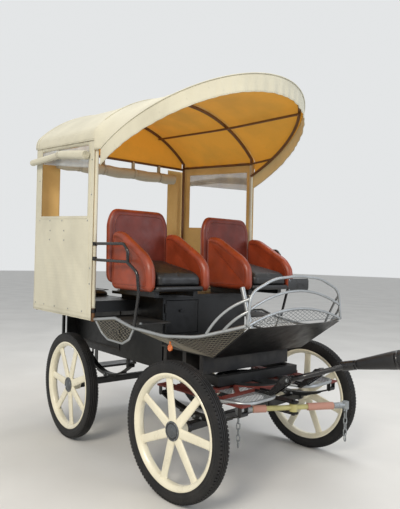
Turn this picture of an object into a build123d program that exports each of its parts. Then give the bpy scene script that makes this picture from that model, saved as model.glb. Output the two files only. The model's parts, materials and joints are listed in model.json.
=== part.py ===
"""A four-wheeled wagonette with a canvas hood: steel chassis, turntable front carriage, padded pole and evener.

Millimetres. +X is forwards, +Y is the vehicle's left, +Z is up, and the wheels stand on Z = 0.
The origin is on the ground below the middle of the whole length. The front carriage is steered a little
to the left, so its pieces are made straight and then turned about the kingpin.
"""

from build123d import *
import math
import os

os.makedirs("parts", exist_ok=True)

# Driving dimensions: wheels and axles
wheel_diameter = 860
wheel_track = 1450
wheelbase = 1381
tyre_width = 80
rim_diameter = 704
rim_width = 76
spoke_count = 7
hub_radius = 46
hub_length = 112
spindle_radius = 15
running_clearance = 0.05
axle_bar = 50
front_axle_x = -435
steer_angle = 6
evener_swing = -32

# Driving dimensions: body
post_set_back = 850
post_spacing = 1105
post_y = 810
canopy_tube = 14
rail_half_gap = 340
rail_width = 50
rail_bottom = 660
rail_height = 60
bench_top = 1165
bench_depth = 85
body_half_width = 795.7
foot_half_width = 440
floor_top = 860
floor_thickness = 12
seat_platform_top = 1222
hem_height = 1020

# Driving dimensions: hood
rear_crown = 2900
front_crown = 2810
hood_radius = 1100
hood_half_width = 838
visor_foot_height = 2246
visor_lean = 28
visor_leg = 300
visor_radius = 780
canvas_thickness = 8
band_depth = 100
soft_gap = 0.3

# Driving dimensions: pole and evener
pole_hinge_x = 470
pole_hinge_z = 745
pole_hinge_y = 180
pole_length = 2480
pole_rise = 14.4
pole_radius = 25
pad_radius = 58
evener_x = 375
evener_z = 520
evener_half = 410

# Places worked out from them
wheel_radius = wheel_diameter / 2
rim_radius = rim_diameter / 2
rear_axle_x = front_axle_x - wheelbase
post_front_x = front_axle_x - post_set_back
post_rear_x = post_front_x - post_spacing
kingpin = Axis((front_axle_x, 0, 0), (0, 0, 1))
rail_top = rail_bottom + rail_height
axle_top = wheel_radius + axle_bar / 2
sides = ((-1, "right"), (1, "left"))


def save(piece, name):
    """Writes one finished piece under its own name."""
    piece.label = name
    export_step(piece, f"parts/{name}.step")


def steered(piece):
    """Turns a piece of the front carriage about the kingpin, as the vehicle stands."""
    return piece.rotate(kingpin, steer_angle)


def block(low, high, mode=Mode.ADD):
    """A plain bar or plate between two opposite corners, in the part being built."""
    middle = [(a + b) / 2 for a, b in zip(low, high)]
    with Locations(tuple(middle)):
        Box(high[0] - low[0], high[1] - low[1], high[2] - low[2], mode=mode)


def round_bar(start, end, radius, mode=Mode.ADD):
    """A straight round bar between the centres of its two ends, in the part being built."""
    run = Vector(*end) - Vector(*start)
    with BuildSketch(Plane(origin=start, z_dir=run)) as end_face:
        Circle(radius)
    extrude(end_face.sketch, amount=run.length, mode=mode)


def bent_tube(points, bends, radius):
    """A round tube along straight runs joined by tangent arcs."""
    with BuildPart() as tube:
        with BuildLine() as route:
            FilletPolyline(*points, radius=bends)
        with BuildSketch(Plane(origin=route.line @ 0, z_dir=route.line % 0)):
            Circle(radius)
        sweep()
    return tube.part


# Wheels: a rolled rim, flattened spokes dished outwards, a hub and a cap, and a tyre in the rim's channel
rim_well = 30
rim_lip = 6
bead_inset = 0.4
spoke_at_hub = (52, 22)
spoke_at_rim = (44, 20)
spoke_dish = 26
cap_radius = 63
cap_height = 20
tread_crown = 4


def make_rim_and_spokes():
    """The painted wheel about the Y axis at the origin, its outer face towards -Y, a spoke along +X."""
    half = rim_width / 2
    bottom = rim_radius - rim_well
    with BuildPart() as wheel:
        with BuildSketch(Plane.XY) as section:
            with BuildLine():
                Polyline(
                    (rim_radius, -half),
                    (rim_radius - 14, -half),
                    (bottom, -half + 14),
                    (bottom, half - 14),
                    (rim_radius - 14, half),
                    (rim_radius, half),
                    (rim_radius, half - rim_lip),
                    (rim_radius - 12, half - rim_lip - 4),
                    (bottom + rim_lip, half - 20),
                    (bottom + rim_lip, -half + 20),
                    (rim_radius - 12, -half + rim_lip + 4),
                    (rim_radius, -half + rim_lip),
                    close=True,
                )
            make_face()
        revolve(axis=Axis.Y)
        with BuildSketch(Plane.XY):
            with BuildLine():
                Polyline(
                    (0, hub_length / 2 - 6),
                    (hub_radius, hub_length / 2 - 6),
                    (hub_radius, 24 - hub_length / 2),
                    (cap_radius, 12 - hub_length / 2),
                    (cap_radius, -hub_length / 2),
                    (0, -hub_length / 2),
                    close=True,
                )
            make_face()
        revolve(axis=Axis.Y)
        inner = hub_radius - 8
        outer = bottom + 3
        for index in range(spoke_count):
            angle = math.radians(index * 360 / spoke_count)
            along = Vector(math.cos(angle), 0, math.sin(angle))
            across = Vector(-math.sin(angle), 0, math.cos(angle))
            for reach, dish, size in ((inner, spoke_dish, spoke_at_hub), (outer, 0, spoke_at_rim)):
                with BuildSketch(Plane(origin=along * reach + Vector(0, -dish, 0), x_dir=across, z_dir=along)):
                    SlotOverall(*size)
            loft(ruled=True)
        Cylinder(
            spindle_radius + running_clearance,
            4 * hub_length,
            rotation=(90, 0, 0),
            mode=Mode.SUBTRACT,
        )
    return wheel.part


def make_tyre():
    """The tyre about the Y axis at the origin, seated in the rim's channel."""
    bead = rim_width / 2 - rim_lip - bead_inset
    half = tyre_width / 2
    with BuildPart() as tyre:
        with BuildSketch(Plane.XY):
            with BuildLine():
                Polyline(
                    (rim_radius - 11, -bead + 4),
                    (rim_radius - 11, bead - 4),
                    (rim_radius + 1, bead),
                    (rim_radius + 26, half),
                    (wheel_radius - 24, half),
                    (wheel_radius - tread_crown, half - 16),
                    (wheel_radius, 14),
                    (wheel_radius, -14),
                    (wheel_radius - tread_crown, 16 - half),
                    (wheel_radius - 24, -half),
                    (rim_radius + 26, -half),
                    (rim_radius + 1, -bead),
                    close=True,
                )
            make_face()
        revolve(axis=Axis.Y)
    return tyre.part


def make_hub_cap():
    """The domed cap with its ring, seated on the hub's outer face."""
    face = -hub_length / 2
    rise_start = cap_radius - 22
    dome = cap_height - 11
    dome_radius = (rise_start**2 + dome**2) / (2 * dome)
    middle_rise = cap_height - dome_radius + math.sqrt(dome_radius**2 - (rise_start / 2) ** 2)
    with BuildPart() as cap:
        with BuildSketch(Plane.XY):
            with BuildLine():
                Polyline(
                    (0, face),
                    (cap_radius - 3, face),
                    (cap_radius - 3, face - 7),
                    (cap_radius - 16, face - 11),
                    (rise_start, face - 11),
                )
                ThreePointArc((rise_start, face - 11), (rise_start / 2, face - middle_rise), (0, face - cap_height))
                Line((0, face - cap_height), (0, face))
            make_face()
        revolve(axis=Axis.Y)
    return cap.part


# name, axle's x, side, whether it steers, angle of the first spoke above forwards
wheel_table = (
    ("front_right", front_axle_x, -1, True, 95),
    ("front_left", front_axle_x, 1, True, 88),
    ("rear_right", rear_axle_x, -1, False, 65),
    ("rear_left", rear_axle_x, 1, False, 75),
)
painted_wheel = make_rim_and_spokes()
tyre = make_tyre()
hub_cap = make_hub_cap()
for name, axle_x, side, steers, first_spoke in wheel_table:
    hub_place = Plane(
        origin=(axle_x, side * wheel_track / 2, wheel_radius),
        x_dir=(-side, 0, 0),
        z_dir=(0, 0, 1),
    )
    first = first_spoke if side < 0 else 180 - first_spoke
    for kind, piece in (
        ("wheel", painted_wheel.rotate(Axis.Y, -first)),
        ("tyre", tyre),
        ("hub_cap", hub_cap),
    ):
        placed = piece.moved(hub_place.location)
        save(steered(placed) if steers else placed, f"{kind}_{name}")


# Axles: a square beam with a round spindle into each hub
spindle_end = wheel_track / 2 + hub_length / 2 - 4
beam_end = wheel_track / 2 - hub_length / 2 - 3


def make_axle(axle_x):
    """An axle beam with its shoulders and spindles."""
    with BuildPart() as axle:
        half = axle_bar / 2
        block((axle_x - half, -beam_end, wheel_radius - half), (axle_x + half, beam_end, axle_top))
        round_bar((axle_x, -spindle_end, wheel_radius), (axle_x, spindle_end, wheel_radius), spindle_radius)
        for side, word in sides:
            start = (axle_x, side * (beam_end - 30), wheel_radius)
            end = (axle_x, side * beam_end, wheel_radius)
            round_bar(start, end, hub_radius - 8)
    return axle.part


save(make_axle(rear_axle_x), "rear_axle")
save(steered(make_axle(front_axle_x)), "front_axle")


# Springs: three leaves of falling length on each side, hung from the frame by their eyes
leaf_thickness = 9
leaf_width = 50
leaf_table = ((0, 350), (1, 255), (2, 165))
eye_radius = 14
spring_pad = 6


def make_spring_pair(axle_x, half_spacing, eye_height, hanger_top):
    """Leaf springs right and left of the middle, on top of an axle."""
    half_span = leaf_table[0][1]
    bow = eye_height - axle_top - spring_pad - 3 * leaf_thickness
    radius = (half_span**2 + bow**2) / (2 * bow)
    with BuildPart() as pair:
        for side, word in sides:
            centre_y = side * half_spacing
            seat = axle_top + spring_pad
            top = seat + 3 * leaf_thickness
            middle = (axle_x, top + radius)
            for layer, half_length in leaf_table:
                outer = radius + (layer + 1) * leaf_thickness
                inner = radius + layer * leaf_thickness
                turn = math.asin(half_length / radius)
                ends = [
                    (middle[0] + r * math.sin(t), middle[1] - r * math.cos(t))
                    for r, t in ((inner, -turn), (inner, 0), (inner, turn), (outer, turn), (outer, 0), (outer, -turn))
                ]
                with BuildSketch(Plane.XZ.offset(-centre_y)):
                    with BuildLine():
                        ThreePointArc(*ends[:3])
                        Line(ends[2], ends[3])
                        ThreePointArc(*ends[3:])
                        Line(ends[5], ends[0])
                    make_face()
                extrude(amount=leaf_width / 2, both=True)
            for end in (-1, 1):
                eye = (axle_x + end * (half_span + eye_radius - 6), centre_y, eye_height + 3)
                with Locations(eye):
                    Cylinder(eye_radius, leaf_width + 16, rotation=(90, 0, 0))
                for cheek in (-1, 1):
                    cheek_y = centre_y + cheek * (leaf_width / 2 + 5)
                    block((eye[0] - 14, cheek_y - 3, eye[2]), (eye[0] + 14, cheek_y + 3, hanger_top))
            block(
                (axle_x - 40, centre_y - leaf_width / 2 - 6, axle_top),
                (axle_x + 40, centre_y + leaf_width / 2 + 6, seat + 8),
            )
    return pair.part


front_spring_y = 500
rear_spring_y = rail_half_gap + rail_width / 2
platform_bottom = 610
platform_bar = 30
save(make_spring_pair(rear_axle_x, rear_spring_y, 600, rail_bottom), "rear_springs")
save(steered(make_spring_pair(front_axle_x, front_spring_y, 560, platform_bottom)), "front_springs")


# Chassis: two long rails, cross members under the floors, and the upper half of the turntable
rail_front = front_axle_x + 100
rail_rear = post_rear_x - 20
turntable_radius = 250
turntable_band = 45
turntable_bottom = platform_bottom + platform_bar
turntable_thickness = (rail_bottom - turntable_bottom - soft_gap) / 2
member_table = (rail_rear, rear_axle_x - 330, rear_axle_x + 330, post_front_x - 30, front_axle_x - 330, rail_front - 50)

with BuildPart() as chassis_rails:
    for side, word in sides:
        low = min(side * rail_half_gap, side * (rail_half_gap + rail_width))
        block((rail_rear, low, rail_bottom), (rail_front, low + rail_width, rail_top))
save(chassis_rails.part, "chassis_rails")

with BuildPart() as cross_members:
    for member_x in member_table:
        block((member_x, -rail_half_gap, rail_bottom), (member_x + rail_width, rail_half_gap, rail_top))
save(cross_members.part, "cross_members")

kingpin_radius = 22
with BuildPart() as turntable_upper:
    with Locations((front_axle_x, 0, rail_bottom - turntable_thickness)):
        Cylinder(turntable_radius, turntable_thickness, align=(Align.CENTER, Align.CENTER, Align.MIN))
        Cylinder(
            turntable_radius - turntable_band,
            turntable_thickness,
            align=(Align.CENTER, Align.CENTER, Align.MIN),
            mode=Mode.SUBTRACT,
        )
    block(
        (front_axle_x - turntable_radius + 10, -60, rail_bottom - turntable_thickness),
        (front_axle_x + turntable_radius - 10, 60, rail_bottom),
    )
    round_bar((front_axle_x, 0, platform_bottom - 30), (front_axle_x, 0, rail_bottom), kingpin_radius)
    for reach in (-1, 1):
        for side, word in sides:
            corner_y = side * (rail_half_gap + rail_width / 2)
            low_y = min(corner_y, side * 60)
            start_x = front_axle_x + reach * 60
            block(
                (start_x - 25, low_y, rail_bottom - turntable_thickness),
                (start_x + 25, low_y + abs(corner_y) - 60, rail_bottom),
            )
save(turntable_upper.part, "turntable_upper")


# Front carriage, made straight: lower ring, angle-iron platform, mesh steps, pole lugs and evener bracket
step_depth = 200
step_half_width = 250
step_tube = 11
platform_front = 215
lug_plate = 8
lug_gap = 22
lug_clear_of_ring = 5
eye_outer = 24
hinge_pin_radius = 11
with BuildPart() as turntable_lower:
    with Locations((front_axle_x, 0, turntable_bottom)):
        Cylinder(turntable_radius, turntable_thickness, align=(Align.CENTER, Align.CENTER, Align.MIN))
        Cylinder(
            turntable_radius - turntable_band,
            turntable_thickness,
            align=(Align.CENTER, Align.CENTER, Align.MIN),
            mode=Mode.SUBTRACT,
        )
    block(
        (front_axle_x - 60, -turntable_radius + 12, turntable_bottom),
        (front_axle_x + 60, turntable_radius - 12, turntable_bottom + turntable_thickness),
    )
    with Locations((front_axle_x, 0, turntable_bottom)):
        Cylinder(kingpin_radius + running_clearance, 100, mode=Mode.SUBTRACT)

platform_half = 375
with BuildPart() as front_platform:
    add(turntable_lower.part)
    bar_top = platform_bottom + platform_bar
    front_x = front_axle_x + platform_front
    block((front_x - platform_bar, -platform_half, platform_bottom), (front_x, platform_half, bar_top))
    block((front_axle_x - 35, -front_spring_y - 45, platform_bottom), (front_axle_x + 35, front_spring_y + 45, bar_top))
    back_x = front_axle_x - 230
    block((back_x, -platform_half, platform_bottom), (back_x + platform_bar, platform_half, bar_top))
    for side, word in sides:
        spring_y = side * front_spring_y
        block(
            (front_axle_x - 385, spring_y - 40, platform_bottom),
            (front_axle_x + 385, spring_y + 40, platform_bottom + 12),
        )
        for end_x in (back_x, front_x - platform_bar):
            low_y = min(side * platform_half, spring_y)
            block((end_x, low_y, platform_bottom), (end_x + platform_bar, low_y + front_spring_y - platform_half, bar_top))
        corner = Vector(front_x - 15, side * (platform_half - 15), 0)
        inner = Vector(front_axle_x - 20, side * 150, 0)
        run = inner - corner
        turn = math.degrees(math.atan2(run.Y, run.X))
        centre = (corner + inner) / 2
        with Locations(Location((centre.X, centre.Y, platform_bottom + platform_bar / 2), (0, 0, turn))):
            Box(run.length, platform_bar, platform_bar)
    with Locations((front_axle_x, 0, platform_bottom)):
        Cylinder(kingpin_radius + running_clearance, 200, mode=Mode.SUBTRACT)
save(steered(front_platform.part), "front_platform")

with BuildPart() as pole_lugs:
    hinge_x = front_axle_x + pole_hinge_x
    root_x = front_axle_x + platform_front
    lug_low_top = turntable_bottom + lug_clear_of_ring
    for side, word in sides:
        for cheek in (-1, 1):
            cheek_y = side * pole_hinge_y + cheek * (lug_gap + lug_plate / 2)
            with BuildSketch(Plane.XZ.offset(-cheek_y)):
                with BuildLine():
                    Polyline(
                        (root_x, platform_bottom + 2),
                        (root_x + 120, platform_bottom + 6),
                        (hinge_x, pole_hinge_z - 26),
                        (hinge_x + 26, pole_hinge_z),
                        (hinge_x, pole_hinge_z + 26),
                        (hinge_x - 30, pole_hinge_z + 20),
                        (root_x + 105, lug_low_top),
                        (root_x, lug_low_top),
                        close=True,
                    )
                make_face()
            extrude(amount=lug_plate / 2, both=True)
        pin_half = lug_gap + lug_plate + 12
        round_bar(
            (hinge_x, side * pole_hinge_y - pin_half, pole_hinge_z),
            (hinge_x, side * pole_hinge_y + pin_half, pole_hinge_z),
            hinge_pin_radius,
        )
save(steered(pole_lugs.part), "pole_lugs")

with BuildPart() as front_steps:
    for side, word in sides:
        step_y = side * 300
        step_z = platform_bottom + platform_bar / 2
        front_x = front_axle_x + platform_front + 0.3
        add(
            bent_tube(
                (
                    (front_x, step_y - step_half_width, step_z),
                    (front_x + step_depth * 0.85, step_y - step_half_width * 0.72, step_z),
                    (front_x + step_depth * 0.85, step_y + step_half_width * 0.72, step_z),
                    (front_x, step_y + step_half_width, step_z),
                ),
                110,
                step_tube,
            )
        )
        with BuildSketch(Plane.XY.offset(step_z - 3)):
            with BuildLine():
                Polyline(
                    (front_x, step_y - step_half_width + 4),
                    (front_x + step_depth * 0.6, step_y - step_half_width * 0.78),
                    (front_x + step_depth * 0.85, step_y - step_half_width * 0.4),
                    (front_x + step_depth * 0.85, step_y + step_half_width * 0.4),
                    (front_x + step_depth * 0.6, step_y + step_half_width * 0.78),
                    (front_x, step_y + step_half_width - 4),
                    close=True,
                )
            make_face()
        extrude(amount=6)
    block(
        (back_x + platform_bar + 1, -platform_half, platform_bottom + 12),
        (front_axle_x + platform_front - platform_bar - 1, platform_half, platform_bottom + 18),
    )
    add(front_platform.part, mode=Mode.SUBTRACT)
    add(pole_lugs.part, mode=Mode.SUBTRACT)
    with Locations((front_axle_x, 0, platform_bottom)):
        Cylinder(kingpin_radius + 20, 200, mode=Mode.SUBTRACT)
save(steered(front_steps.part), "front_steps")

evener_pin_radius = 12
with BuildPart() as evener_bracket:
    pivot_x = front_axle_x + evener_x
    for height in (evener_z - 40, evener_z + 32):
        block(
            (front_axle_x + platform_front - 24, -35, height),
            (pivot_x, 35, height + 8),
        )
        with Locations((pivot_x, 0, height)):
            Cylinder(35, 8, align=(Align.CENTER, Align.CENTER, Align.MIN))
    block(
        (front_axle_x + platform_front - 24, -35, evener_z - 40),
        (front_axle_x + platform_front - 12, 35, platform_bottom),
    )
    round_bar((pivot_x, 0, evener_z - 52), (pivot_x, 0, evener_z + 52), evener_pin_radius)
save(steered(evener_bracket.part), "evener_bracket")


# Pole: a hinged fork, a round pole in a padded cover, and an eye at its head
rise = math.radians(pole_rise)
fork_reach = 290
fork_top = 855 - 745
fork_tube = 16
knee_reach = 85
brace_share = 0.45
pole_end = pole_length - fork_reach


def along_pole(distance, height=0.0):
    """A point on the pole's middle line, distance measured forwards from the fork's crotch."""
    return (
        front_axle_x + pole_hinge_x + fork_reach + distance * math.cos(rise) - height * math.sin(rise),
        0,
        pole_hinge_z + fork_top + distance * math.sin(rise) + height * math.cos(rise),
    )


with BuildPart() as pole_bar:
    crotch = along_pole(0)
    for side, word in sides:
        eye = (front_axle_x + pole_hinge_x, side * pole_hinge_y, pole_hinge_z)
        knee = (eye[0] + knee_reach, side * (pole_hinge_y - 4), eye[2] + knee_reach * fork_top / fork_reach)
        add(bent_tube((eye, knee, crotch), 70, fork_tube))
        round_bar((eye[0], eye[1] - lug_gap + 2, eye[2]), (eye[0], eye[1] + lug_gap - 2, eye[2]), eye_outer)
    brace_x = front_axle_x + pole_hinge_x + fork_reach * brace_share
    brace_z = pole_hinge_z + fork_top * brace_share
    brace_y = (pole_hinge_y - 4) * (1 - brace_share) * fork_reach / (fork_reach - knee_reach)
    round_bar((brace_x, -brace_y, brace_z), (brace_x, brace_y, brace_z), fork_tube - 4)
    round_bar(along_pole(-30), along_pole(60), pole_radius + 5)
    round_bar(along_pole(0), along_pole(pole_end - 130), pole_radius)
    for side, word in sides:
        reach = pole_hinge_y + lug_gap + 20
        round_bar(
            (front_axle_x + pole_hinge_x, side * (pole_hinge_y - lug_gap - 20), pole_hinge_z),
            (front_axle_x + pole_hinge_x, side * reach, pole_hinge_z),
            hinge_pin_radius + running_clearance,
            mode=Mode.SUBTRACT,
        )
save(steered(pole_bar.part), "pole_bar")

# distance along the pole, radius of the padded cover
pad_table = ((75, 32), (330, pad_radius), (1500, pad_radius), (1680, 34))
with BuildPart() as pole_pad:
    with BuildSketch(Plane(origin=along_pole(0), x_dir=(math.cos(rise), 0, math.sin(rise)), z_dir=(0, -1, 0))):
        with BuildLine():
            Polyline(
                (pad_table[0][0], pole_radius + soft_gap),
                *pad_table,
                (pad_table[-1][0], pole_radius + soft_gap),
                close=True,
            )
        make_face()
    revolve(axis=Axis(along_pole(0), (math.cos(rise), 0, math.sin(rise))))
save(steered(pole_pad.part), "pole_pad")

head_bore = 9
with BuildPart() as pole_head:
    round_bar(along_pole(pole_end - 130), along_pole(pole_end - 50), pole_radius + 5)
    with BuildSketch(Plane(origin=along_pole(pole_end - 25), z_dir=(-math.sin(rise), 0, math.cos(rise)))):
        Circle(38)
    extrude(amount=12, both=True)
    with BuildSketch(Plane(origin=along_pole(pole_end - 25), z_dir=(-math.sin(rise), 0, math.cos(rise)))):
        Circle(head_bore)
    extrude(amount=20, both=True, mode=Mode.SUBTRACT)
save(steered(pole_head.part), "pole_head")


# Evener: a straight bar on a vertical pin, two sliding sleeves, and a trace chain on each end
bar_radius = 17
sleeve_radius = 24
link_wire = 4.5
link_half_length = 24
link_half_width = 13
link_count = 5
fitting_length = 120
chain_eye_z = evener_z - 38
chain_eye_radius = 10
link_play = 0.3


def swung(piece):
    """Turns a piece of the evener about its own pin, then with the front carriage."""
    pin = Axis((front_axle_x + evener_x, 0, 0), (0, 0, 1))
    return steered(piece.rotate(pin, evener_swing))


with BuildPart() as evener_bar:
    pivot_x = front_axle_x + evener_x
    grip = evener_half - fitting_length
    round_bar((pivot_x, -grip, evener_z), (pivot_x, grip, evener_z), bar_radius)
    with Locations((pivot_x, 0, evener_z)):
        Cylinder(28, 50)
        Cylinder(evener_pin_radius + running_clearance, 80, mode=Mode.SUBTRACT)
save(swung(evener_bar.part), "evener_bar")

# start and end along the bar
sleeve_table = ((-285, -195), (100, 285))
with BuildPart() as evener_sleeves:
    for start, end in sleeve_table:
        round_bar((pivot_x, start, evener_z), (pivot_x, end, evener_z), sleeve_radius)
        round_bar(
            (pivot_x, start - 1, evener_z),
            (pivot_x, end + 1, evener_z),
            bar_radius + running_clearance,
            mode=Mode.SUBTRACT,
        )
save(swung(evener_sleeves.part), "evener_sleeves")

with BuildPart() as evener_ends:
    for side, word in sides:
        near = side * (evener_half - fitting_length)
        far = side * (evener_half - 30)
        round_bar((pivot_x, near, evener_z), (pivot_x, far, evener_z), bar_radius + 3)
        with Locations((pivot_x, side * (evener_half - 30), evener_z)):
            Cylinder(bar_radius + 6, 50)
        eye_y = side * (evener_half - 30)
        with Locations((pivot_x, eye_y, chain_eye_z)):
            Cylinder(18, 9, rotation=(90, 0, 0))
        block((pivot_x - 16, eye_y - 4.5, chain_eye_z), (pivot_x + 16, eye_y + 4.5, evener_z))
        with Locations((pivot_x, eye_y, chain_eye_z)):
            Cylinder(chain_eye_radius, 20, rotation=(90, 0, 0), mode=Mode.SUBTRACT)
save(swung(evener_ends.part), "evener_ends")


def make_link():
    """One oval chain link in the XZ plane, standing upright, of square wire with its corners cut."""
    straight = link_half_length - link_half_width
    with BuildPart() as link:
        with BuildLine() as route:
            Line((link_half_width, 0, -straight), (link_half_width, 0, straight))
            ThreePointArc((link_half_width, 0, straight), (0, 0, link_half_length), (-link_half_width, 0, straight))
            Line((-link_half_width, 0, straight), (-link_half_width, 0, -straight))
            ThreePointArc((-link_half_width, 0, -straight), (0, 0, -link_half_length), (link_half_width, 0, -straight))
        with BuildSketch(Plane(origin=route.line @ 0, z_dir=route.line % 0)):
            RegularPolygon(link_wire, 6)
        sweep()
    return link.part


link = make_link()
link_pitch = 2 * (link_half_length - link_wire) - link_play
trace_chains = []
for side, word in sides:
    for index in range(link_count):
        first_z = chain_eye_z - chain_eye_radius + link_wire + link_play - link_half_length
        quarter = 90 * ((index + 1) % 2)
        place = Location((pivot_x, side * (evener_half - 30), first_z - index * link_pitch), (0, 0, quarter))
        trace_chains.append(link.moved(place))
save(swung(Compound(children=trace_chains)), "trace_chains")


# Floors: the driver's footwell with its sloping front, and the passengers' floor between the rear wheels
dash_x = front_axle_x + 430
dash_bottom = 1093
dash_top = 1270
dash_half = 459
footwell_front = front_axle_x + 100
footwell_rear = front_axle_x - 500
seat_box_rear = front_axle_x - 1100

passenger_floor_top = rail_top + 20
well_rear = post_rear_x + 5
well_front = seat_box_rear - 20
well_half = 420
with BuildPart() as floors:
    block((well_rear, -well_half, rail_top), (well_front, well_half, passenger_floor_top))
    block(
        (footwell_rear, -foot_half_width, floor_top - floor_thickness),
        (footwell_front, foot_half_width, floor_top),
    )
    for bearer_x in (footwell_rear + 20, front_axle_x - 250, front_axle_x - 60):
        block(
            (bearer_x, -foot_half_width + 20, rail_top),
            (bearer_x + 40, foot_half_width - 20, floor_top - floor_thickness),
        )
save(floors.part, "floors")

with BuildPart() as toe_board:
    with BuildSketch(Plane.XZ):
        with BuildLine():
            Polyline(
                (footwell_front + soft_gap, floor_top - floor_thickness),
                (dash_x + 6, dash_bottom - 16),
                (dash_x - 8, dash_bottom - 16),
                (footwell_front + soft_gap, floor_top),
                close=True,
            )
        make_face()
    extrude(amount=foot_half_width, both=True)
save(toe_board.part, "toe_board")

door_half_width = 230
rear_wall = 14
with BuildPart() as rear_benches:
    for side, word in sides:
        inner = side * (well_half - 14)
        low = min(inner, side * body_half_width)
        block(
            (well_rear, low, bench_top - bench_depth),
            (well_front, low + body_half_width - well_half + 14, bench_top),
        )
        low = min(inner, side * well_half)
        block((well_rear, low, passenger_floor_top), (well_front, low + 14, bench_top))
        low = min(side * (foot_half_width + 12), side * body_half_width)
        block(
            (well_front, low, bench_top - bench_depth),
            (post_front_x + 20, low + body_half_width - foot_half_width - 12, bench_top),
        )
    for side, word in sides:
        low = min(side * (door_half_width + 6), side * body_half_width)
        block(
            (well_rear - rear_wall, low, passenger_floor_top - 20),
            (well_rear, low + body_half_width - door_half_width - 6, bench_top),
        )
    block(
        (well_rear - rear_wall, -door_half_width - 6, passenger_floor_top - 20),
        (well_rear, door_half_width + 6, passenger_floor_top + 10),
    )
save(rear_benches.part, "rear_benches")


# Seat box with its door, the platform on it, and the two armchair seats
seat_box_front = footwell_rear
seat_box_half = 420
seat_box_top = seat_platform_top - 22
box_wall = 14
latch_door = (85, 396, 925, 1180)
door_play = 5
hinge_barrel = 7
hinge_wire = 3
hinge_heights = (975, 1120)
with BuildPart() as seat_box:
    block(
        (seat_box_rear, -seat_box_half, rail_top),
        (seat_box_front - soft_gap, seat_box_half, seat_box_top),
    )
    block(
        (seat_box_rear + box_wall, -seat_box_half + box_wall, rail_top + box_wall),
        (seat_box_front - box_wall, seat_box_half - box_wall, seat_box_top - box_wall),
        mode=Mode.SUBTRACT,
    )
    block(
        (seat_box_front - 2 * box_wall, -latch_door[1], latch_door[2]),
        (seat_box_front + box_wall, -latch_door[0], latch_door[3]),
        mode=Mode.SUBTRACT,
    )
    for height in hinge_heights:
        hinge_place = (seat_box_front + hinge_barrel, -latch_door[1] - 4)
        for ear in (-1, 1):
            ear_low = height + 25 * ear - 8
            with Locations((hinge_place[0], hinge_place[1], ear_low + 8)):
                Cylinder(hinge_barrel - 0.5, 16)
            block(
                (seat_box_front - 4, hinge_place[1] - hinge_barrel, ear_low),
                (seat_box_front + hinge_barrel, hinge_place[1], ear_low + 16),
            )
        with Locations((hinge_place[0], hinge_place[1], height)):
            Cylinder(hinge_wire, 50)
save(seat_box.part, "seat_box")

latch_z = 1100
latch_y = -(latch_door[0] + latch_door[1]) / 2
with BuildPart() as box_door:
    block(
        (seat_box_front - 10, -latch_door[1] + door_play, latch_door[2] + door_play),
        (seat_box_front, -latch_door[0] - door_play, latch_door[3] - door_play),
    )
    for height in hinge_heights:
        with Locations((hinge_place[0], hinge_place[1], height)):
            Cylinder(hinge_barrel - 0.5, 33)
        block(
            (seat_box_front, hinge_place[1], height - 16.5),
            (seat_box_front + 4, hinge_place[1] + 30, height + 16.5),
        )
        with Locations((hinge_place[0], hinge_place[1], height)):
            Cylinder(hinge_wire + running_clearance, 40, mode=Mode.SUBTRACT)
    with Locations((seat_box_front + 4, latch_y, latch_z)):
        Cylinder(14, 8, rotation=(0, 90, 0))
    block((seat_box_front + 8, latch_y - 28, latch_z - 7), (seat_box_front + 14, latch_y + 28, latch_z + 7))
save(box_door.part, "box_door")

seat_centre = 450
seat_half_width = 265
seat_arm = 70
seat_bottom = 1260
seat_floor = 1330
back_top = 1840
back_rear = front_axle_x - 850
back_front = front_axle_x - 770
arm_front = front_axle_x - 235
arm_knee = 1478
arm_rear = 1685
arm_front_height = arm_knee - seat_bottom
arm_toe = seat_bottom + 0.23 * arm_front_height
arm_turn = seat_bottom + 0.82 * arm_front_height
for side, word in sides:
    outer_y = side * (seat_centre + seat_half_width)
    with BuildPart() as seat_shell:
        with BuildSketch(Plane.XZ.offset(-side * seat_centre)):
            with BuildLine():
                Polyline(
                    (back_rear + 70, seat_bottom),
                    (arm_front - 40, seat_bottom),
                    (arm_front, arm_toe),
                    (arm_front, arm_turn),
                    (arm_front - 35, arm_knee),
                    (back_front + 60, arm_rear),
                    (back_front, back_top),
                    (back_rear, back_top),
                    (back_rear + 10, seat_floor + 100),
                    close=True,
                )
            make_face()
        extrude(amount=seat_half_width, both=True)
        fillet(seat_shell.edges().filter_by(Axis.Y).group_by(Axis.Z)[-1], 30)
        with BuildSketch(Plane.XZ.offset(-side * seat_centre)):
            with BuildLine():
                Polyline(
                    (back_front + 115, seat_floor),
                    (arm_front + 50, seat_floor),
                    (arm_front + 50, back_top + 50),
                    (back_front + 14, back_top + 50),
                    (back_front + 14, back_top - 40),
                    close=True,
                )
            make_face()
        extrude(amount=seat_half_width - seat_arm, both=True, mode=Mode.SUBTRACT)
    save(seat_shell.part, f"seat_shell_{word}")

with BuildPart() as seat_cushions:
    for side, word in sides:
        inner = seat_half_width - seat_arm - 2
        block(
            (back_front + 122, side * seat_centre - inner, seat_floor + soft_gap),
            (arm_front + 12, side * seat_centre + inner, seat_floor + 105),
        )
    fillet(seat_cushions.edges(), 24)
save(seat_cushions.part, "seat_cushions")

with BuildPart() as seat_platform:
    block(
        (seat_box_rear - 20, -foot_half_width - 60, seat_box_top),
        (seat_box_front + 10, foot_half_width + 60, seat_platform_top),
    )
    for side, word in sides:
        for edge in (-1, 1):
            slide_y = side * seat_centre + edge * 170
            block(
                (back_rear + 90, slide_y - 20, seat_platform_top),
                (arm_front - 60, slide_y + 20, seat_bottom - soft_gap),
            )
save(seat_platform.part, "seat_platform")

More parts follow.
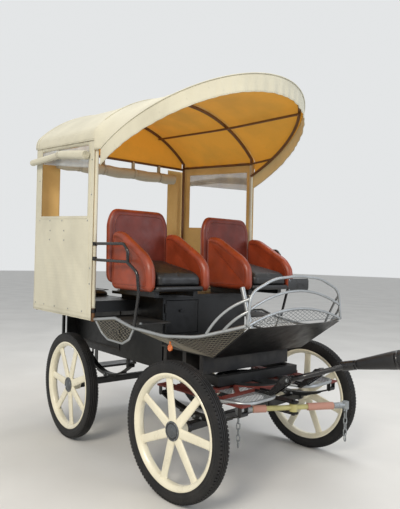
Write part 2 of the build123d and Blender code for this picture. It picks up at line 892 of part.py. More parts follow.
bench_cushion_height = 60
with BuildPart() as bench_cushions:
    for side, word in sides:
        low = min(side * (well_half + 15), side * (body_half_width - 15))
        block(
            (well_rear + 20, low, bench_top + soft_gap),
            (well_front - 120, low + body_half_width - well_half - 30, bench_top + bench_cushion_height),
        )
save(bench_cushions.part, "bench_cushions")


# Side boards beside the seat box: flat plate, side tube with its pocket, and the flared mesh panel
rim_tube = 11
pocket_tube = 8
side_plate_top = 1035
# x from the front axle, distance from the middle, height
rim_route = (
    (canopy_tube + soft_gap - post_set_back, 805, 1030),
    (-620, 755, 1056),
    (-420, 735, 1010),
    (-100, 682, 985),
    (150, 612, 1004),
    (420, dash_half, dash_bottom),
)
pocket_route = (
    (-822, 797, 1018),
    (-805, 755, 930),
    (-720, 752, 892),
    (-520, 748, 886),
    (-440, 742, 925),
    (-400, 734, 998),
)
with BuildPart() as side_tubes:
    for side, word in sides:
        route = [(front_axle_x + x, side * y, z) for x, y, z in rim_route]
        add(bent_tube(route, (60, 150, 400, 400), rim_tube))
        pocket = [(front_axle_x + x, side * y, z) for x, y, z in pocket_route]
        add(bent_tube(pocket, (30, 40, 40, 30), pocket_tube))
save(side_tubes.part, "side_tubes")

with BuildPart() as side_plates:
    for side, word in sides:
        with BuildSketch(Plane.XY.offset(side_plate_top)):
            with BuildLine():
                Polyline(
                    (post_front_x - 100, side * (seat_box_half + soft_gap)),
                    (front_axle_x - 400, side * (seat_box_half + soft_gap)),
                    (front_axle_x - 400, side * 660),
                    (front_axle_x - 440, side * 718),
                    (front_axle_x - 620, side * 738),
                    (post_front_x - 100, side * 742),
                    close=True,
                )
            make_face()
        extrude(amount=-12)
save(side_plates.part, "side_plates")

mesh_thickness = 4
# corners of the flared panel: x from the front axle, distance from the middle, height
mesh_corners = {
    "tube_rear": (-400, 721, 998),
    "tube_middle": (-100, 671, 978),
    "tube_front": (150, 601, 997),
    "dash_corner": (412, 446, 1078),
    "floor_rear": (-220, foot_half_width + soft_gap, 858),
    "floor_front": (100, foot_half_width + soft_gap, 858),
}
mesh_panels = (
    ("tube_rear", "tube_middle", "floor_rear"),
    ("tube_middle", "floor_front", "floor_rear"),
    ("tube_middle", "tube_front", "floor_front"),
    ("tube_front", "dash_corner", "floor_front"),
)
with BuildPart() as side_meshes:
    for side, word in sides:
        for names in mesh_panels:
            corners = [mesh_corners[name] for name in names]
            points = [Vector(front_axle_x + x, side * y, z) for x, y, z in corners]
            panel = Face(Wire.make_polygon(points, close=True))
            extrude(panel, amount=mesh_thickness, dir=(0, side * 0.5, -1))
save(side_meshes.part, "side_meshes")


# Dash: two corner posts, three arched front rails, rails back to the side tubes, and the plates between them
dash_tube = 9
# height at the corners, height in the middle
arch_table = ((dash_bottom, 1181), (1190, 1297), (dash_top, 1391))
with BuildPart() as dash_rails:
    for side, word in sides:
        round_bar(
            (front_axle_x + 427, side * dash_half, dash_bottom + 10),
            (front_axle_x + 440, side * 435, dash_top),
            dash_tube,
        )
    for corner_z, middle_z in arch_table:
        corner_y = dash_half - 24 * (corner_z - dash_bottom) / (dash_top - dash_bottom)
        with BuildLine() as arch:
            ThreePointArc(
                (dash_x, -corner_y, corner_z),
                (dash_x, 0, middle_z),
                (dash_x, corner_y, corner_z),
            )
        with BuildSketch(Plane(origin=arch.line @ 0, z_dir=arch.line % 0)):
            Circle(dash_tube)
        sweep(path=arch.line)
    for side, word in sides:
        for top, foot, bulge in (
            ((430, 438, dash_top - 14), (190, 598, 1036), (300, 540, 1190)),
            ((430, 446, 1182), (300, 530, 1074), (370, 504, 1130)),
        ):
            with BuildLine() as stay:
                ThreePointArc(
                    (front_axle_x + top[0], side * top[1], top[2]),
                    (front_axle_x + bulge[0], side * bulge[1], bulge[2]),
                    (front_axle_x + foot[0], side * foot[1], foot[2]),
                )
            with BuildSketch(Plane(origin=stay.line @ 0, z_dir=stay.line % 0)):
                Circle(dash_tube)
            sweep(path=stay.line)
save(dash_rails.part, "dash_rails")

with BuildPart() as dash_sheets:
    block((dash_x - 2, -100, 1300), (dash_x + 2, 100, 1378))
    with BuildSketch(Plane.YZ.offset(dash_x)):
        with BuildLine():
            Line((-dash_half + 20, dash_bottom), (dash_half - 20, dash_bottom))
            ThreePointArc((dash_half - 20, dash_bottom), (0, arch_table[0][1] - 10), (-dash_half + 20, dash_bottom))
        make_face()
    extrude(amount=2, both=True)
    add(dash_rails.part, mode=Mode.SUBTRACT)
save(dash_sheets.part, "dash_sheets")


# Grab rails beside the seats, brake lever, side reflectors
grab_tube = 11
with BuildPart() as grab_rails:
    clamp_x = canopy_tube + 1 - post_set_back
    for side, word in sides:
        upper = ((clamp_x, post_y, 1592), (-480, 782, 1588), (-432, 776, 1540), (-432, 772, 1455))
        lower = ((clamp_x, post_y, 1472), (-440, 775, 1462), (-330, 760, 1392), (-320, 750, 1250), (-380, 742, 1024))
        for places, bends in ((upper, 40), (lower, (60, 60, 60))):
            route = [(front_axle_x + x, side * y, z) for x, y, z in places]
            add(bent_tube(route, bends, grab_tube))
save(grab_rails.part, "grab_rails")

with BuildPart() as brake_lever:
    foot = (front_axle_x - 60, 100, floor_top)
    round_bar(foot, (front_axle_x - 200, 100, 1285), 19)
    with Locations((foot[0], foot[1], floor_top)):
        Cylinder(45, 12, align=(Align.CENTER, Align.CENTER, Align.MIN))
    block(
        (foot[0] - 60, foot[1] - 60, floor_top - 60),
        (foot[0] + 60, foot[1] + 60, floor_top),
        mode=Mode.SUBTRACT,
    )
save(brake_lever.part, "brake_lever")

with BuildPart() as side_reflectors:
    for side, word in sides:
        with Locations((front_axle_x - 150, side * 602, 896)):
            Cylinder(22, 10, rotation=(90, 0, 0))
        low = side * 602 - 2
        block((front_axle_x - 158, low, 900), (front_axle_x - 142, low + 4, 945))
    add(side_meshes.part, mode=Mode.SUBTRACT)
save(side_reflectors.part, "side_reflectors")


# Hood frame: posts, hoops, long rails and the leaning visor hoop
def hoop_height(crown, half_width):
    """Height of a hoop's middle line above the point that stands half_width from the middle."""
    return crown - hood_radius + math.sqrt(hood_radius**2 - half_width**2)


eave_rear = hoop_height(rear_crown, post_y)
eave_front = hoop_height(front_crown, post_y)
lean = math.radians(visor_lean)
visor_reach = visor_leg + visor_radius


visor_tube = canopy_tube - 2


def on_visor(across, along, below=0.0):
    """A point in the visor's leaning plane, along measured up from its foot, or so far below the plane."""
    return (
        post_front_x + 30 + along * math.cos(lean) + below * math.sin(lean),
        across,
        visor_foot_height + along * math.sin(lean) - below * math.cos(lean),
    )


with BuildPart() as canopy_hoops:
    for post_x, crown in ((post_rear_x, rear_crown), (post_front_x, front_crown)):
        eave = hoop_height(crown, post_y)
        with BuildLine() as hoop:
            ThreePointArc((post_x, -post_y, eave), (post_x, 0, crown), (post_x, post_y, eave))
        with BuildSketch(Plane(origin=hoop.line @ 0, z_dir=hoop.line % 0)):
            Circle(canopy_tube)
        sweep(path=hoop.line)
        for side, word in sides:
            with Locations((post_x, side * post_y, eave)):
                Sphere(canopy_tube + 0.5)
            round_bar((post_x, side * post_y, eave - 30), (post_x, side * post_y, eave), canopy_tube)
    with BuildLine() as visor:
        Line(on_visor(-visor_radius, 0), on_visor(-visor_radius, visor_leg))
        ThreePointArc(
            on_visor(-visor_radius, visor_leg),
            on_visor(0, visor_reach),
            on_visor(visor_radius, visor_leg),
        )
        Line(on_visor(visor_radius, visor_leg), on_visor(visor_radius, 0))
    with BuildSketch(Plane(origin=visor.line @ 0, z_dir=visor.line % 0)):
        Circle(visor_tube)
    sweep(path=visor.line)
save(canopy_hoops.part, "canopy_hoops")

purlin_y = 470
purlin_tube = 10
purlin_drop = (canopy_tube + purlin_tube + 2 * soft_gap) * hood_radius / math.sqrt(hood_radius**2 - purlin_y**2)
purlin_inset = 30
visor_purlin = visor_leg + math.sqrt(visor_radius**2 - (purlin_y - purlin_inset) ** 2)
eave_tube = 12
eave_rail_drop = 45
cross_tube_drop = 60
post_foot = 1012
with BuildPart() as canopy_frame:
    for post_x, eave in ((post_rear_x, eave_rear), (post_front_x, eave_front)):
        for side, word in sides:
            round_bar((post_x, side * post_y, post_foot), (post_x, side * post_y, eave - 30), canopy_tube)
    for side, word in sides:
        start = (post_rear_x, side * purlin_y, hoop_height(rear_crown, purlin_y) - purlin_drop)
        middle = (post_front_x, side * purlin_y, hoop_height(front_crown, purlin_y) - purlin_drop)
        end = on_visor(side * (purlin_y - purlin_inset), visor_purlin - purlin_tube, visor_tube + purlin_tube + soft_gap)
        add(bent_tube((start, middle, end), 400, purlin_tube))
        butt = canopy_tube - 4
        fall = (eave_rear - eave_front) * butt / post_spacing
        round_bar(
            (post_rear_x + butt, side * post_y, eave_rear - eave_rail_drop - fall),
            (post_front_x - butt, side * post_y, eave_front - eave_rail_drop + fall),
            eave_tube,
        )
    round_bar(
        (post_rear_x, -post_y + butt, eave_rear - cross_tube_drop),
        (post_rear_x, post_y - butt, eave_rear - cross_tube_drop),
        eave_tube,
    )
save(canopy_frame.part, "canopy_frame")


# Hood cloth: the roof between the hoops, the visor ahead of it, side curtains with windows, rear curtain
cloth_inner = canopy_tube + 1


def roof_section(plane, crown, foot):
    """The cloth's cut across a hoop, from the foot line on one side to the other."""
    inner = hood_radius + cloth_inner
    outer = inner + canvas_thickness
    centre = crown - hood_radius
    with BuildSketch(plane) as cut:
        with BuildLine():
            half = hood_half_width
            in_z = centre + math.sqrt(inner**2 - half**2)
            out_z = centre + math.sqrt(outer**2 - (half + canvas_thickness) ** 2)
            Line((-half, foot), (-half, in_z))
            ThreePointArc((-half, in_z), (0, centre + inner), (half, in_z))
            Line((half, in_z), (half, foot))
            Line((half, foot), (half + canvas_thickness, foot))
            Line((half + canvas_thickness, foot), (half + canvas_thickness, out_z))
            ThreePointArc(
                (half + canvas_thickness, out_z),
                (0, centre + outer),
                (-half - canvas_thickness, out_z),
            )
            Line((-half - canvas_thickness, out_z), (-half - canvas_thickness, foot))
            Line((-half - canvas_thickness, foot), (-half, foot))
        make_face()
    return cut


def across_plane(x):
    """A plane across the vehicle whose sketch x is +Y and sketch y is +Z."""
    return Plane(origin=(x, 0, 0), x_dir=(0, 1, 0), z_dir=(1, 0, 0))


eave_drop = 60
roof_rear_x = post_rear_x - 45
roof_front_x = post_front_x + 15
roof_fall = (rear_crown - front_crown) / post_spacing
rear_cut = roof_section(
    across_plane(roof_rear_x),
    rear_crown + roof_fall * (post_rear_x - roof_rear_x),
    eave_rear - eave_drop,
)
front_cut = roof_section(
    across_plane(roof_front_x),
    front_crown - roof_fall * (roof_front_x - post_front_x),
    eave_front - eave_drop,
)
with BuildPart() as canopy_roof:
    loft([rear_cut.sketch, front_cut.sketch], ruled=True)
save(canopy_roof.part, "canopy_roof")

visor_back_cut = roof_section(
    across_plane(roof_front_x + soft_gap),
    front_crown,
    visor_foot_height,
)
# the rim of the cloth lies over the top front corner of the hoop's tube, so that the band hangs clear of it
rim_in = visor_radius + visor_tube + 1
rim_out = rim_in + canvas_thickness
rim_forward = 4
rim_lift = 5.5
visor_hem = 10
visor_plane = Plane(
    origin=on_visor(0, rim_forward, -rim_lift),
    x_dir=(0, 1, 0),
    z_dir=(math.sin(lean), 0, -math.cos(lean)),
)
with BuildSketch(visor_plane) as visor_front_cut:
    with BuildLine():
        Line((-rim_in, visor_hem), (-rim_in, visor_leg))
        ThreePointArc((-rim_in, visor_leg), (0, visor_leg + rim_in), (rim_in, visor_leg))
        Line((rim_in, visor_leg), (rim_in, visor_hem))
        Line((rim_in, visor_hem), (rim_out, visor_hem))
        Line((rim_out, visor_hem), (rim_out, visor_leg))
        ThreePointArc((rim_out, visor_leg), (0, visor_leg + rim_out), (-rim_out, visor_leg))
        Line((-rim_out, visor_leg), (-rim_out, visor_hem))
        Line((-rim_out, visor_hem), (-rim_in, visor_hem))
    make_face()
with BuildPart() as canopy_visor:
    loft([visor_back_cut.sketch, visor_front_cut.sketch], ruled=True)
    extrude(visor_front_cut.sketch, amount=band_depth, dir=(0, 0, -1))
save(canopy_visor.part, "canopy_visor")


curtain_skin = 6
curtain_y = hood_half_width - curtain_skin - soft_gap
curtain_rear = post_rear_x - 30
curtain_front = post_front_x + 12
window_bottom = 1830
window_top = 2330
window_rear = post_rear_x + 45
window_front = post_front_x - 150
window_roll_radius = 36
with BuildPart() as side_curtains:
    for side, word in sides:
        with BuildSketch(Plane.XZ.offset(-side * (curtain_y + curtain_skin / 2))):
            with BuildLine():
                Polyline(
                    (curtain_rear, hem_height),
                    (curtain_front, hem_height),
                    (curtain_front, eave_front - 18),
                    (curtain_rear, eave_rear - 18),
                    close=True,
                )
            make_face()
            with Locations(((window_rear + window_front) / 2, (window_bottom + window_top) / 2)):
                Rectangle(window_front - window_rear, window_top - window_bottom, mode=Mode.SUBTRACT)
        extrude(amount=curtain_skin / 2, both=True)
save(side_curtains.part, "side_curtains")

with BuildPart() as window_rolls:
    for side, word in sides:
        roll_y = side * (curtain_y + curtain_skin + window_roll_radius + soft_gap)
        round_bar(
            (window_rear - 60, roll_y, window_top + 55),
            (window_front + 70, roll_y, window_top + 22),
            window_roll_radius,
        )
save(window_rolls.part, "window_rolls")

rear_cloth_x = post_rear_x - canopy_tube - soft_gap
rear_opening_half = 470
with BuildPart() as rear_curtain:
    for side, word in sides:
        low = min(side * rear_opening_half, side * (curtain_y - 1))
        block(
            (rear_cloth_x - curtain_skin, low, hem_height),
            (rear_cloth_x, low + curtain_y - 1 - rear_opening_half, eave_rear - 75),
        )
save(rear_curtain.part, "rear_curtain")

rear_roll_radius = 58
with BuildPart() as rear_roll:
    roll_x = post_rear_x + 45
    hang = math.sqrt((rear_roll_radius + eave_tube + soft_gap) ** 2 - 45**2)
    roll_z = eave_rear - cross_tube_drop - hang
    round_bar((roll_x, 40 - post_y, roll_z), (roll_x, post_y - 40, roll_z), rear_roll_radius)
save(rear_roll.part, "rear_roll")

step_height = 430
step_front = rail_rear + 150
hanger_y = 190
with BuildPart() as rear_step:
    block((roof_rear_x, -200, step_height), (step_front, 200, step_height + 20))
    for side, word in sides:
        low = min(side * hanger_y, side * (hanger_y - 10))
        block((rail_rear, low, step_height + 20), (rail_rear + rail_width, low + 10, rail_bottom))
save(rear_step.part, "rear_step")
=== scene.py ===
"""Looks of a four-wheeled wagonette: enamelled wheels, canvas hood, leather seats, pole and evener.

Metres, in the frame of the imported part: +X forwards, +Y the vehicle's left, +Z up, wheels on Z = 0.
"""

import json
from math import asin, atan2, ceil, copysign, cos, exp, hypot, pi, radians, sin, sqrt

import bmesh
import bpy
from bpy.props import FloatProperty, FloatVectorProperty, IntProperty, PointerProperty
from mathutils import Matrix, Vector, noise


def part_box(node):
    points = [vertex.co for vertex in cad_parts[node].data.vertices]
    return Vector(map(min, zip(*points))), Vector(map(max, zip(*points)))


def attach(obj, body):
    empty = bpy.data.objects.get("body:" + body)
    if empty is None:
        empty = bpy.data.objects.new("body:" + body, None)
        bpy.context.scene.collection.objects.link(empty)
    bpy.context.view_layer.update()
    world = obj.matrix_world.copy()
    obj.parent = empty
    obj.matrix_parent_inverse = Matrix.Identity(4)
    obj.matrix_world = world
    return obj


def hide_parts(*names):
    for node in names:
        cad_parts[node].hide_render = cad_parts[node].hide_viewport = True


bl_info = {
    "name": "Horse Drawn Wagonette",
    "version": (1, 0, 0),
    "blender": (4, 5, 0),
    "location": "3D Viewport > Sidebar > Wagonette",
    "description": "Builds the finished pieces of a canvas-hooded wagonette round its frame",
    "category": "Add Mesh",
}

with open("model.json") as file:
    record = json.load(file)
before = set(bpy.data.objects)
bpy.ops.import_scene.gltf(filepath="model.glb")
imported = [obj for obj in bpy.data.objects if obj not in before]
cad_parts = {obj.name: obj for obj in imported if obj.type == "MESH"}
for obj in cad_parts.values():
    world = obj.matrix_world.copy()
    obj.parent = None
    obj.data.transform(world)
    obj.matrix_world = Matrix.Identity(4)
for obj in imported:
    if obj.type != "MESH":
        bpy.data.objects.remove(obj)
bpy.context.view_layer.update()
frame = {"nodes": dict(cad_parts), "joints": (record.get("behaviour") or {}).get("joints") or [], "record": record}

# Places that the frame gives: joints and mounts
joints = {joint["name"]: joint for joint in frame["joints"]}
mounts = {mount["name"]: mount for mount in frame["record"]["mounts"]}
kingpin = Vector(joints["steering"]["pos_m"])
front_axle_line = Vector(joints["front_left_wheel_spin"]["axis"])
steer_angle = atan2(-front_axle_line.x, front_axle_line.y)
front_x = kingpin.x
rear_x = joints["rear_left_wheel_spin"]["pos_m"][0]
post_front_x = front_x - 0.850
post_rear_x = post_front_x - 1.060
sides = ((-1, "right"), (1, "left"))

# Hood: crowns of the two hoops, radius of their arcs, and the leaning visor hoop
post_y = 0.810
rear_crown = 2.900
front_crown = 2.810
hood_radius = 1.100
cloth_half = 0.838
cloth_lift = 0.015
canvas_skin = 0.002
visor_lean = radians(23.0)
visor_foot = 2.287
visor_leg = 0.062
visor_radius = 0.780
visor_depth = 1.054
visor_rim = 0.7975
rim_stretch = 0.297
leg_share = 0.04
band_depth = 0.126
eave_drop = 0.090
hem_height = 1.020
post_foot = 1.012
rail_y = 0.470
hoop_tube = 0.014
cross_tube = 0.012
long_tube = 0.010
brace_tube = 0.009
clamp_heights = (1.090, 1.480, 1.590)
skirt_bend = 0.05
window_rear, window_front = -2.255, -1.368
window_low, window_high = 1.825, 2.378

# Seats: side profile of an arm, distance forward of the front axle and height
seat_centre = 0.458
seat_half = 0.274
arm_half = 0.034
tray_height = 1.2805
cushion_floor = 1.301
arm_profile = (
    (-0.745, 1.262),
    (-0.745, 1.688),
    (-0.620, 1.682),
    (-0.300, 1.512),
    (-0.240, 1.440),
    (-0.229, 1.380),
    (-0.229, 1.290),
    (-0.245, 1.262),
)


def steered(point):
    """A point of the front carriage, given straight ahead of the kingpin, as the carriage stands."""
    turned = Matrix.Rotation(steer_angle, 3, "Z") @ Vector(point)
    return Vector((kingpin.x, kingpin.y, 0)) + turned


pole_rise = radians(14.4)
pole_line = Matrix.Rotation(steer_angle, 3, "Z") @ Vector((cos(pole_rise), 0, sin(pole_rise)))
pole_head = Vector(mounts["pole_head_eye"]["pos_m"])
pole_crotch = pole_head - pole_line * 2.165
trace_right = Vector(mounts["trace_end_right"]["pos_m"])
trace_left = Vector(mounts["trace_end_left"]["pos_m"])
evener_line = (trace_left - trace_right).normalized()


def linear(hex_colour):
    """An sRGB hex colour as linear red, green, blue and alpha."""
    values = [int(hex_colour[i:i + 2], 16) / 255 for i in (1, 3, 5)]
    bent = [v / 12.92 if v <= 0.04045 else ((v + 0.055) / 1.055) ** 2.4 for v in values]
    return (*bent, 1.0)


class WagonetteColours(bpy.types.PropertyGroup):
    """Colours that an owner would choose."""

    enamel: FloatVectorProperty(
        name="Wheel enamel", description="Colour of rims, spokes and hubs", subtype="COLOR", size=4,
        min=0, max=1, default=linear("#EAE4CC"))
    canvas: FloatVectorProperty(
        name="Canvas outside", description="Weathered face of the hood cloth", subtype="COLOR", size=4,
        min=0, max=1, default=linear("#D0CCB8"))
    canvas_inside: FloatVectorProperty(
        name="Canvas inside", description="Face of the hood cloth that the daylight shines through",
        subtype="COLOR", size=4, min=0, max=1, default=linear("#D99E3A"))
    leather: FloatVectorProperty(
        name="Seat leather", description="Leather of the backs and arms", subtype="COLOR", size=4,
        min=0, max=1, default=linear("#B04A28"))
    cushion: FloatVectorProperty(
        name="Cushion vinyl", description="Covers of the seat and bench cushions", subtype="COLOR", size=4,
        min=0, max=1, default=linear("#161617"))
    steel: FloatVectorProperty(
        name="Chassis paint", description="Satin paint of the chassis and springs", subtype="COLOR", size=4,
        min=0, max=1, default=linear("#0E0F10"))


class WagonetteSizes(bpy.types.PropertyGroup):
    """Sizes of the small forms, in metres or as counts."""

    tread_blocks: IntProperty(
        name="Tread blocks", description="Blocks round each shoulder of a tyre", default=112, min=20, max=160)
    mesh_long: FloatProperty(
        name="Mesh long way", description="Long diagonal of the expanded metal's openings",
        unit="LENGTH", default=0.046, min=0.008, max=0.1)
    mesh_short: FloatProperty(
        name="Mesh short way", description="Short diagonal of the expanded metal's openings",
        unit="LENGTH", default=0.023, min=0.004, max=0.05)
    mesh_strand: FloatProperty(
        name="Mesh strand", description="Half thickness of an expanded metal strand",
        unit="LENGTH", default=0.0017, min=0.0005, max=0.004)
    stud_radius: FloatProperty(
        name="Snap stud", description="Radius of a snap stud on the canvas",
        unit="LENGTH", default=0.007, min=0.003, max=0.02)
    cushion_pressure: FloatProperty(
        name="Cushion pressure", description="Air pressure that swells the cushions in the cloth simulation",
        default=4.0, min=0, max=20)


# Node helpers
def feed(target, inputs):
    """Gives a node's inputs their values. Each is a constant or another node's output."""
    for key, value in inputs.items():
        if isinstance(value, bpy.types.NodeSocket):
            target.id_data.links.new(value, target.inputs[key])
        else:
            target.inputs[key].default_value = value
    return target


def node(tree, kind, inputs=None, **settings):
    """Adds a node, with its properties as settings."""
    made = tree.nodes.new(kind)
    for key, value in settings.items():
        setattr(made, key, value)
    return feed(made, inputs or {})


def new_material(name):
    """An empty material with its shader, and the object coordinates that its patterns read."""
    material = bpy.data.materials.new(name)
    material.use_nodes = True
    tree = material.node_tree
    tree.nodes.clear()
    shader = node(tree, "ShaderNodeBsdfPrincipled")
    node(tree, "ShaderNodeOutputMaterial", {"Surface": shader.outputs["BSDF"]})
    place = node(tree, "ShaderNodeTexCoord").outputs["Object"]
    return material, tree, shader, place


def shade(colour, factor):
    """A colour made darker or lighter by a factor."""
    return (*[min(1.0, c * factor) for c in colour[:3]], 1.0)


def cloudy(tree, place, size_mm, detail):
    """Noise in clouds of about size_mm."""
    cloud = node(tree, "ShaderNodeTexNoise", {"Vector": place, "Scale": 1000 / size_mm, "Detail": detail})
    return cloud.outputs["Fac"]


def cells(tree, place, size_mm, **settings):
    """Rounded cells of about size_mm."""
    found = node(tree, "ShaderNodeTexVoronoi", {"Vector": place, "Scale": 1000 / size_mm}, **settings)
    return found.outputs["Distance"]


def stripes(tree, place, size_mm, direction, distortion=0.0):
    """Waves across one direction. Their crests are 2 pi times size_mm apart."""
    waves = node(
        tree, "ShaderNodeTexWave", {"Vector": place, "Scale": 1000 / size_mm / 20, "Distortion": distortion},
        wave_type="BANDS", bands_direction=direction)
    return waves.outputs["Fac"]


def arithmetic(tree, operation, *values):
    """What a math node makes of the values."""
    return node(tree, "ShaderNodeMath", dict(enumerate(values)), operation=operation).outputs["Value"]


def blend(tree, factor, first, second):
    """Two colours mixed by a factor."""
    mixed = node(tree, "ShaderNodeMix", {"Factor": factor, "A": first, "B": second}, data_type="RGBA")
    return mixed.outputs["Result"]


def ramped(tree, value, first, second, low=0.0, high=1.0):
    """A colour that runs from one shade to another while the value goes from low to high."""
    ramp = node(tree, "ShaderNodeValToRGB", {"Fac": value})
    for index, position, colour in ((0, low, first), (1, high, second)):
        ramp.color_ramp.elements[index].position = position
        ramp.color_ramp.elements[index].color = colour
    return ramp.outputs["Color"]


def drifting(tree, place, patch_mm, first, second, low=0.35, high=0.65, detail=4.0):
    """A colour that drifts between two shades in patches of about patch_mm."""
    return ramped(tree, cloudy(tree, place, patch_mm, detail), first, second, low, high)


def between(tree, value, low, high, from_low=0.3, from_high=0.7):
    """A value moved from one range to another."""
    return node(
        tree, "ShaderNodeMapRange",
        {"Value": value, "From Min": from_low, "From Max": from_high, "To Min": low, "To Max": high},
    ).outputs["Result"]


def bumped(tree, shader, height, depth_mm, strength=0.5):
    """Joins a height pattern to a shader's normal."""
    bump = node(tree, "ShaderNodeBump", {"Height": height, "Strength": strength, "Distance": depth_mm / 1000})
    feed(shader, {"Normal": bump.outputs["Normal"]})


def painted_steel(name, colour, rough=0.4, metallic=0.0, coat=0.0, patch_mm=180, orange_mm=6, wear=0.85):
    """Sprayed or brushed paint on steel: faint drift of the shade, uneven gloss and a light orange peel."""
    material, tree, shader, place = new_material(name)
    feed(shader, {
        "Base Color": drifting(tree, place, patch_mm, shade(colour, wear), colour),
        "Roughness": between(tree, cloudy(tree, place, 40, 3.0), rough - 0.07, rough + 0.1),
        "Metallic": metallic,
        "Coat Weight": coat,
    })
    bumped(tree, shader, cloudy(tree, place, orange_mm, 2.0), 0.25, 0.35)
    return material


def chassis_paint(colours):
    """Black chassis paint, brushed on thick: satin, with dust where faces look up."""
    material, tree, shader, place = new_material("satin black chassis paint")
    paint = drifting(tree, place, 220, shade(colours.steel, 0.5), shade(colours.steel, 0.85))
    facing = node(tree, "ShaderNodeNewGeometry").outputs["Normal"]
    up = node(tree, "ShaderNodeSeparateXYZ", {"Vector": facing}).outputs["Z"]
    cloud = cloudy(tree, place, 60, 5.0)
    dust = arithmetic(tree, "MULTIPLY", between(tree, up, 0, 0.5, 0.5, 1.0), cloud)
    feed(shader, {
        "Base Color": blend(tree, dust, paint, linear("#2A2823")),
        "Roughness": between(tree, cloud, 0.3, 0.5),
    })
    bumped(tree, shader, cloud, 0.4, 0.3)
    return material


def tyre_rubber():
    """Moulded rubber: near black and dull, a little browner in patches where road dust lies."""
    material, tree, shader, place = new_material("moulded tyre rubber")
    grain = cloudy(tree, place, 5, 3.0)
    feed(shader, {
        "Base Color": drifting(tree, place, 90, linear("#121213"), linear("#232120"), 0.4, 0.75),
        "Roughness": between(tree, grain, 0.45, 0.75),
        "Specular IOR Level": 0.4,
    })
    bumped(tree, shader, grain, 0.5, 0.4)
    return material


def hood_canvas(name, colour, stain, glow=0.0):
    """Cotton duck: soft ribs of the weave 25 mm apart so that they show, soft stains and a dry sheen. A glow adds
    an emission in the cloth's colour: painted glow of daylight shining through.
    """
    material, tree, shader, place = new_material(name)
    cloth = drifting(tree, place, 420, colour, stain, 0.42, 0.82, 6.0)
    mildew = between(tree, cloudy(tree, place, 28, 2.0), 0.0, 0.32, 0.66, 0.8)
    weave = arithmetic(tree, "ADD", stripes(tree, place, 4, "X", 0.6), stripes(tree, place, 4, "Z", 0.6))
    height = arithmetic(tree, "MULTIPLY_ADD", cloudy(tree, place, 160, 4.0), 6.0, weave)
    feed(shader, {
        "Base Color": blend(tree, mildew, cloth, shade(stain, 0.72)),
        "Roughness": 0.86,
        "Specular IOR Level": 0.25,
        "Sheen Weight": 0.15,
    })
    bumped(tree, shader, height, 0.9, 0.35)
    # The emission is painted light: the glow of daylight through the cloth, though the cloth is no lamp.
    if glow:
        feed(shader, {"Emission Color": colour, "Emission Strength": glow})
    return material


def leather(name, colour, rough, grain_mm=3.2, crease_mm=70):
    """Upholstery leather or grained vinyl: pebble grain, broad creases, gloss on the worn crowns."""
    material, tree, shader, place = new_material(name)
    crease = cloudy(tree, place, crease_mm, 3.0)
    pebble = cells(tree, place, grain_mm, feature="SMOOTH_F1")
    feed(shader, {
        "Base Color": drifting(tree, place, 110, shade(colour, 0.72), shade(colour, 1.12), 0.3, 0.7),
        "Roughness": between(tree, crease, rough - 0.06, rough + 0.12),
        "Coat Weight": 0.12,
        "Coat Roughness": 0.35,
    })
    bumped(tree, shader, arithmetic(tree, "MULTIPLY_ADD", crease, 5.0, pebble), 0.7, 0.4)
    return material


def galvanised_steel():
    """Hot-dip zinc: spangled crystals, dull grey and a little uneven."""
    material, tree, shader, place = new_material("hot dip galvanised steel")
    spangle = cells(tree, place, 9)
    feed(shader, {
        "Base Color": ramped(tree, spangle, linear("#A7ABAD"), linear("#7F8385")),
        "Roughness": between(tree, spangle, 0.36, 0.55, 0, 1),
        "Metallic": 0.9,
    })
    bumped(tree, shader, spangle, 0.3, 0.3)
    return material


def ribbed_rubber():
    """Rubber matting glued to the side plates and floors, a soft rib every 75 mm across the vehicle."""
    material, tree, shader, place = new_material("ribbed rubber matting")
    feed(shader, {
        "Base Color": drifting(tree, place, 130, linear("#1B1B1C"), linear("#3A3733")),
        "Roughness": 0.62,
    })
    bumped(tree, shader, stripes(tree, place, 12, "Y"), 2.0, 0.8)
    return material


def window_vinyl():
    """Clear window vinyl: thin, glossy and a little milky."""
    material, tree, shader, place = new_material("clear window vinyl")
    feed(shader, {
        "Base Color": drifting(tree, place, 150, linear("#B9BFC2"), linear("#DCE0E0")),
        "Roughness": 0.16,
        "Alpha": 0.55,
    })
    bumped(tree, shader, cloudy(tree, place, 120, 2.0), 3.0, 0.5)
    return material


def reflector_plastic():
    """Moulded acrylic reflector: clear gloss over a grid of small prisms, 2.5 mm apart."""
    material, tree, shader, place = new_material("orange acrylic reflector")
    feed(shader, {
        "Base Color": drifting(tree, place, 12, linear("#E0560A"), linear("#F58A2A")),
        "Roughness": 0.12,
        "Coat Weight": 0.8,
    })
    bumped(tree, shader, cells(tree, place, 2.5), 0.8, 0.7)
    return material


finishes = {}


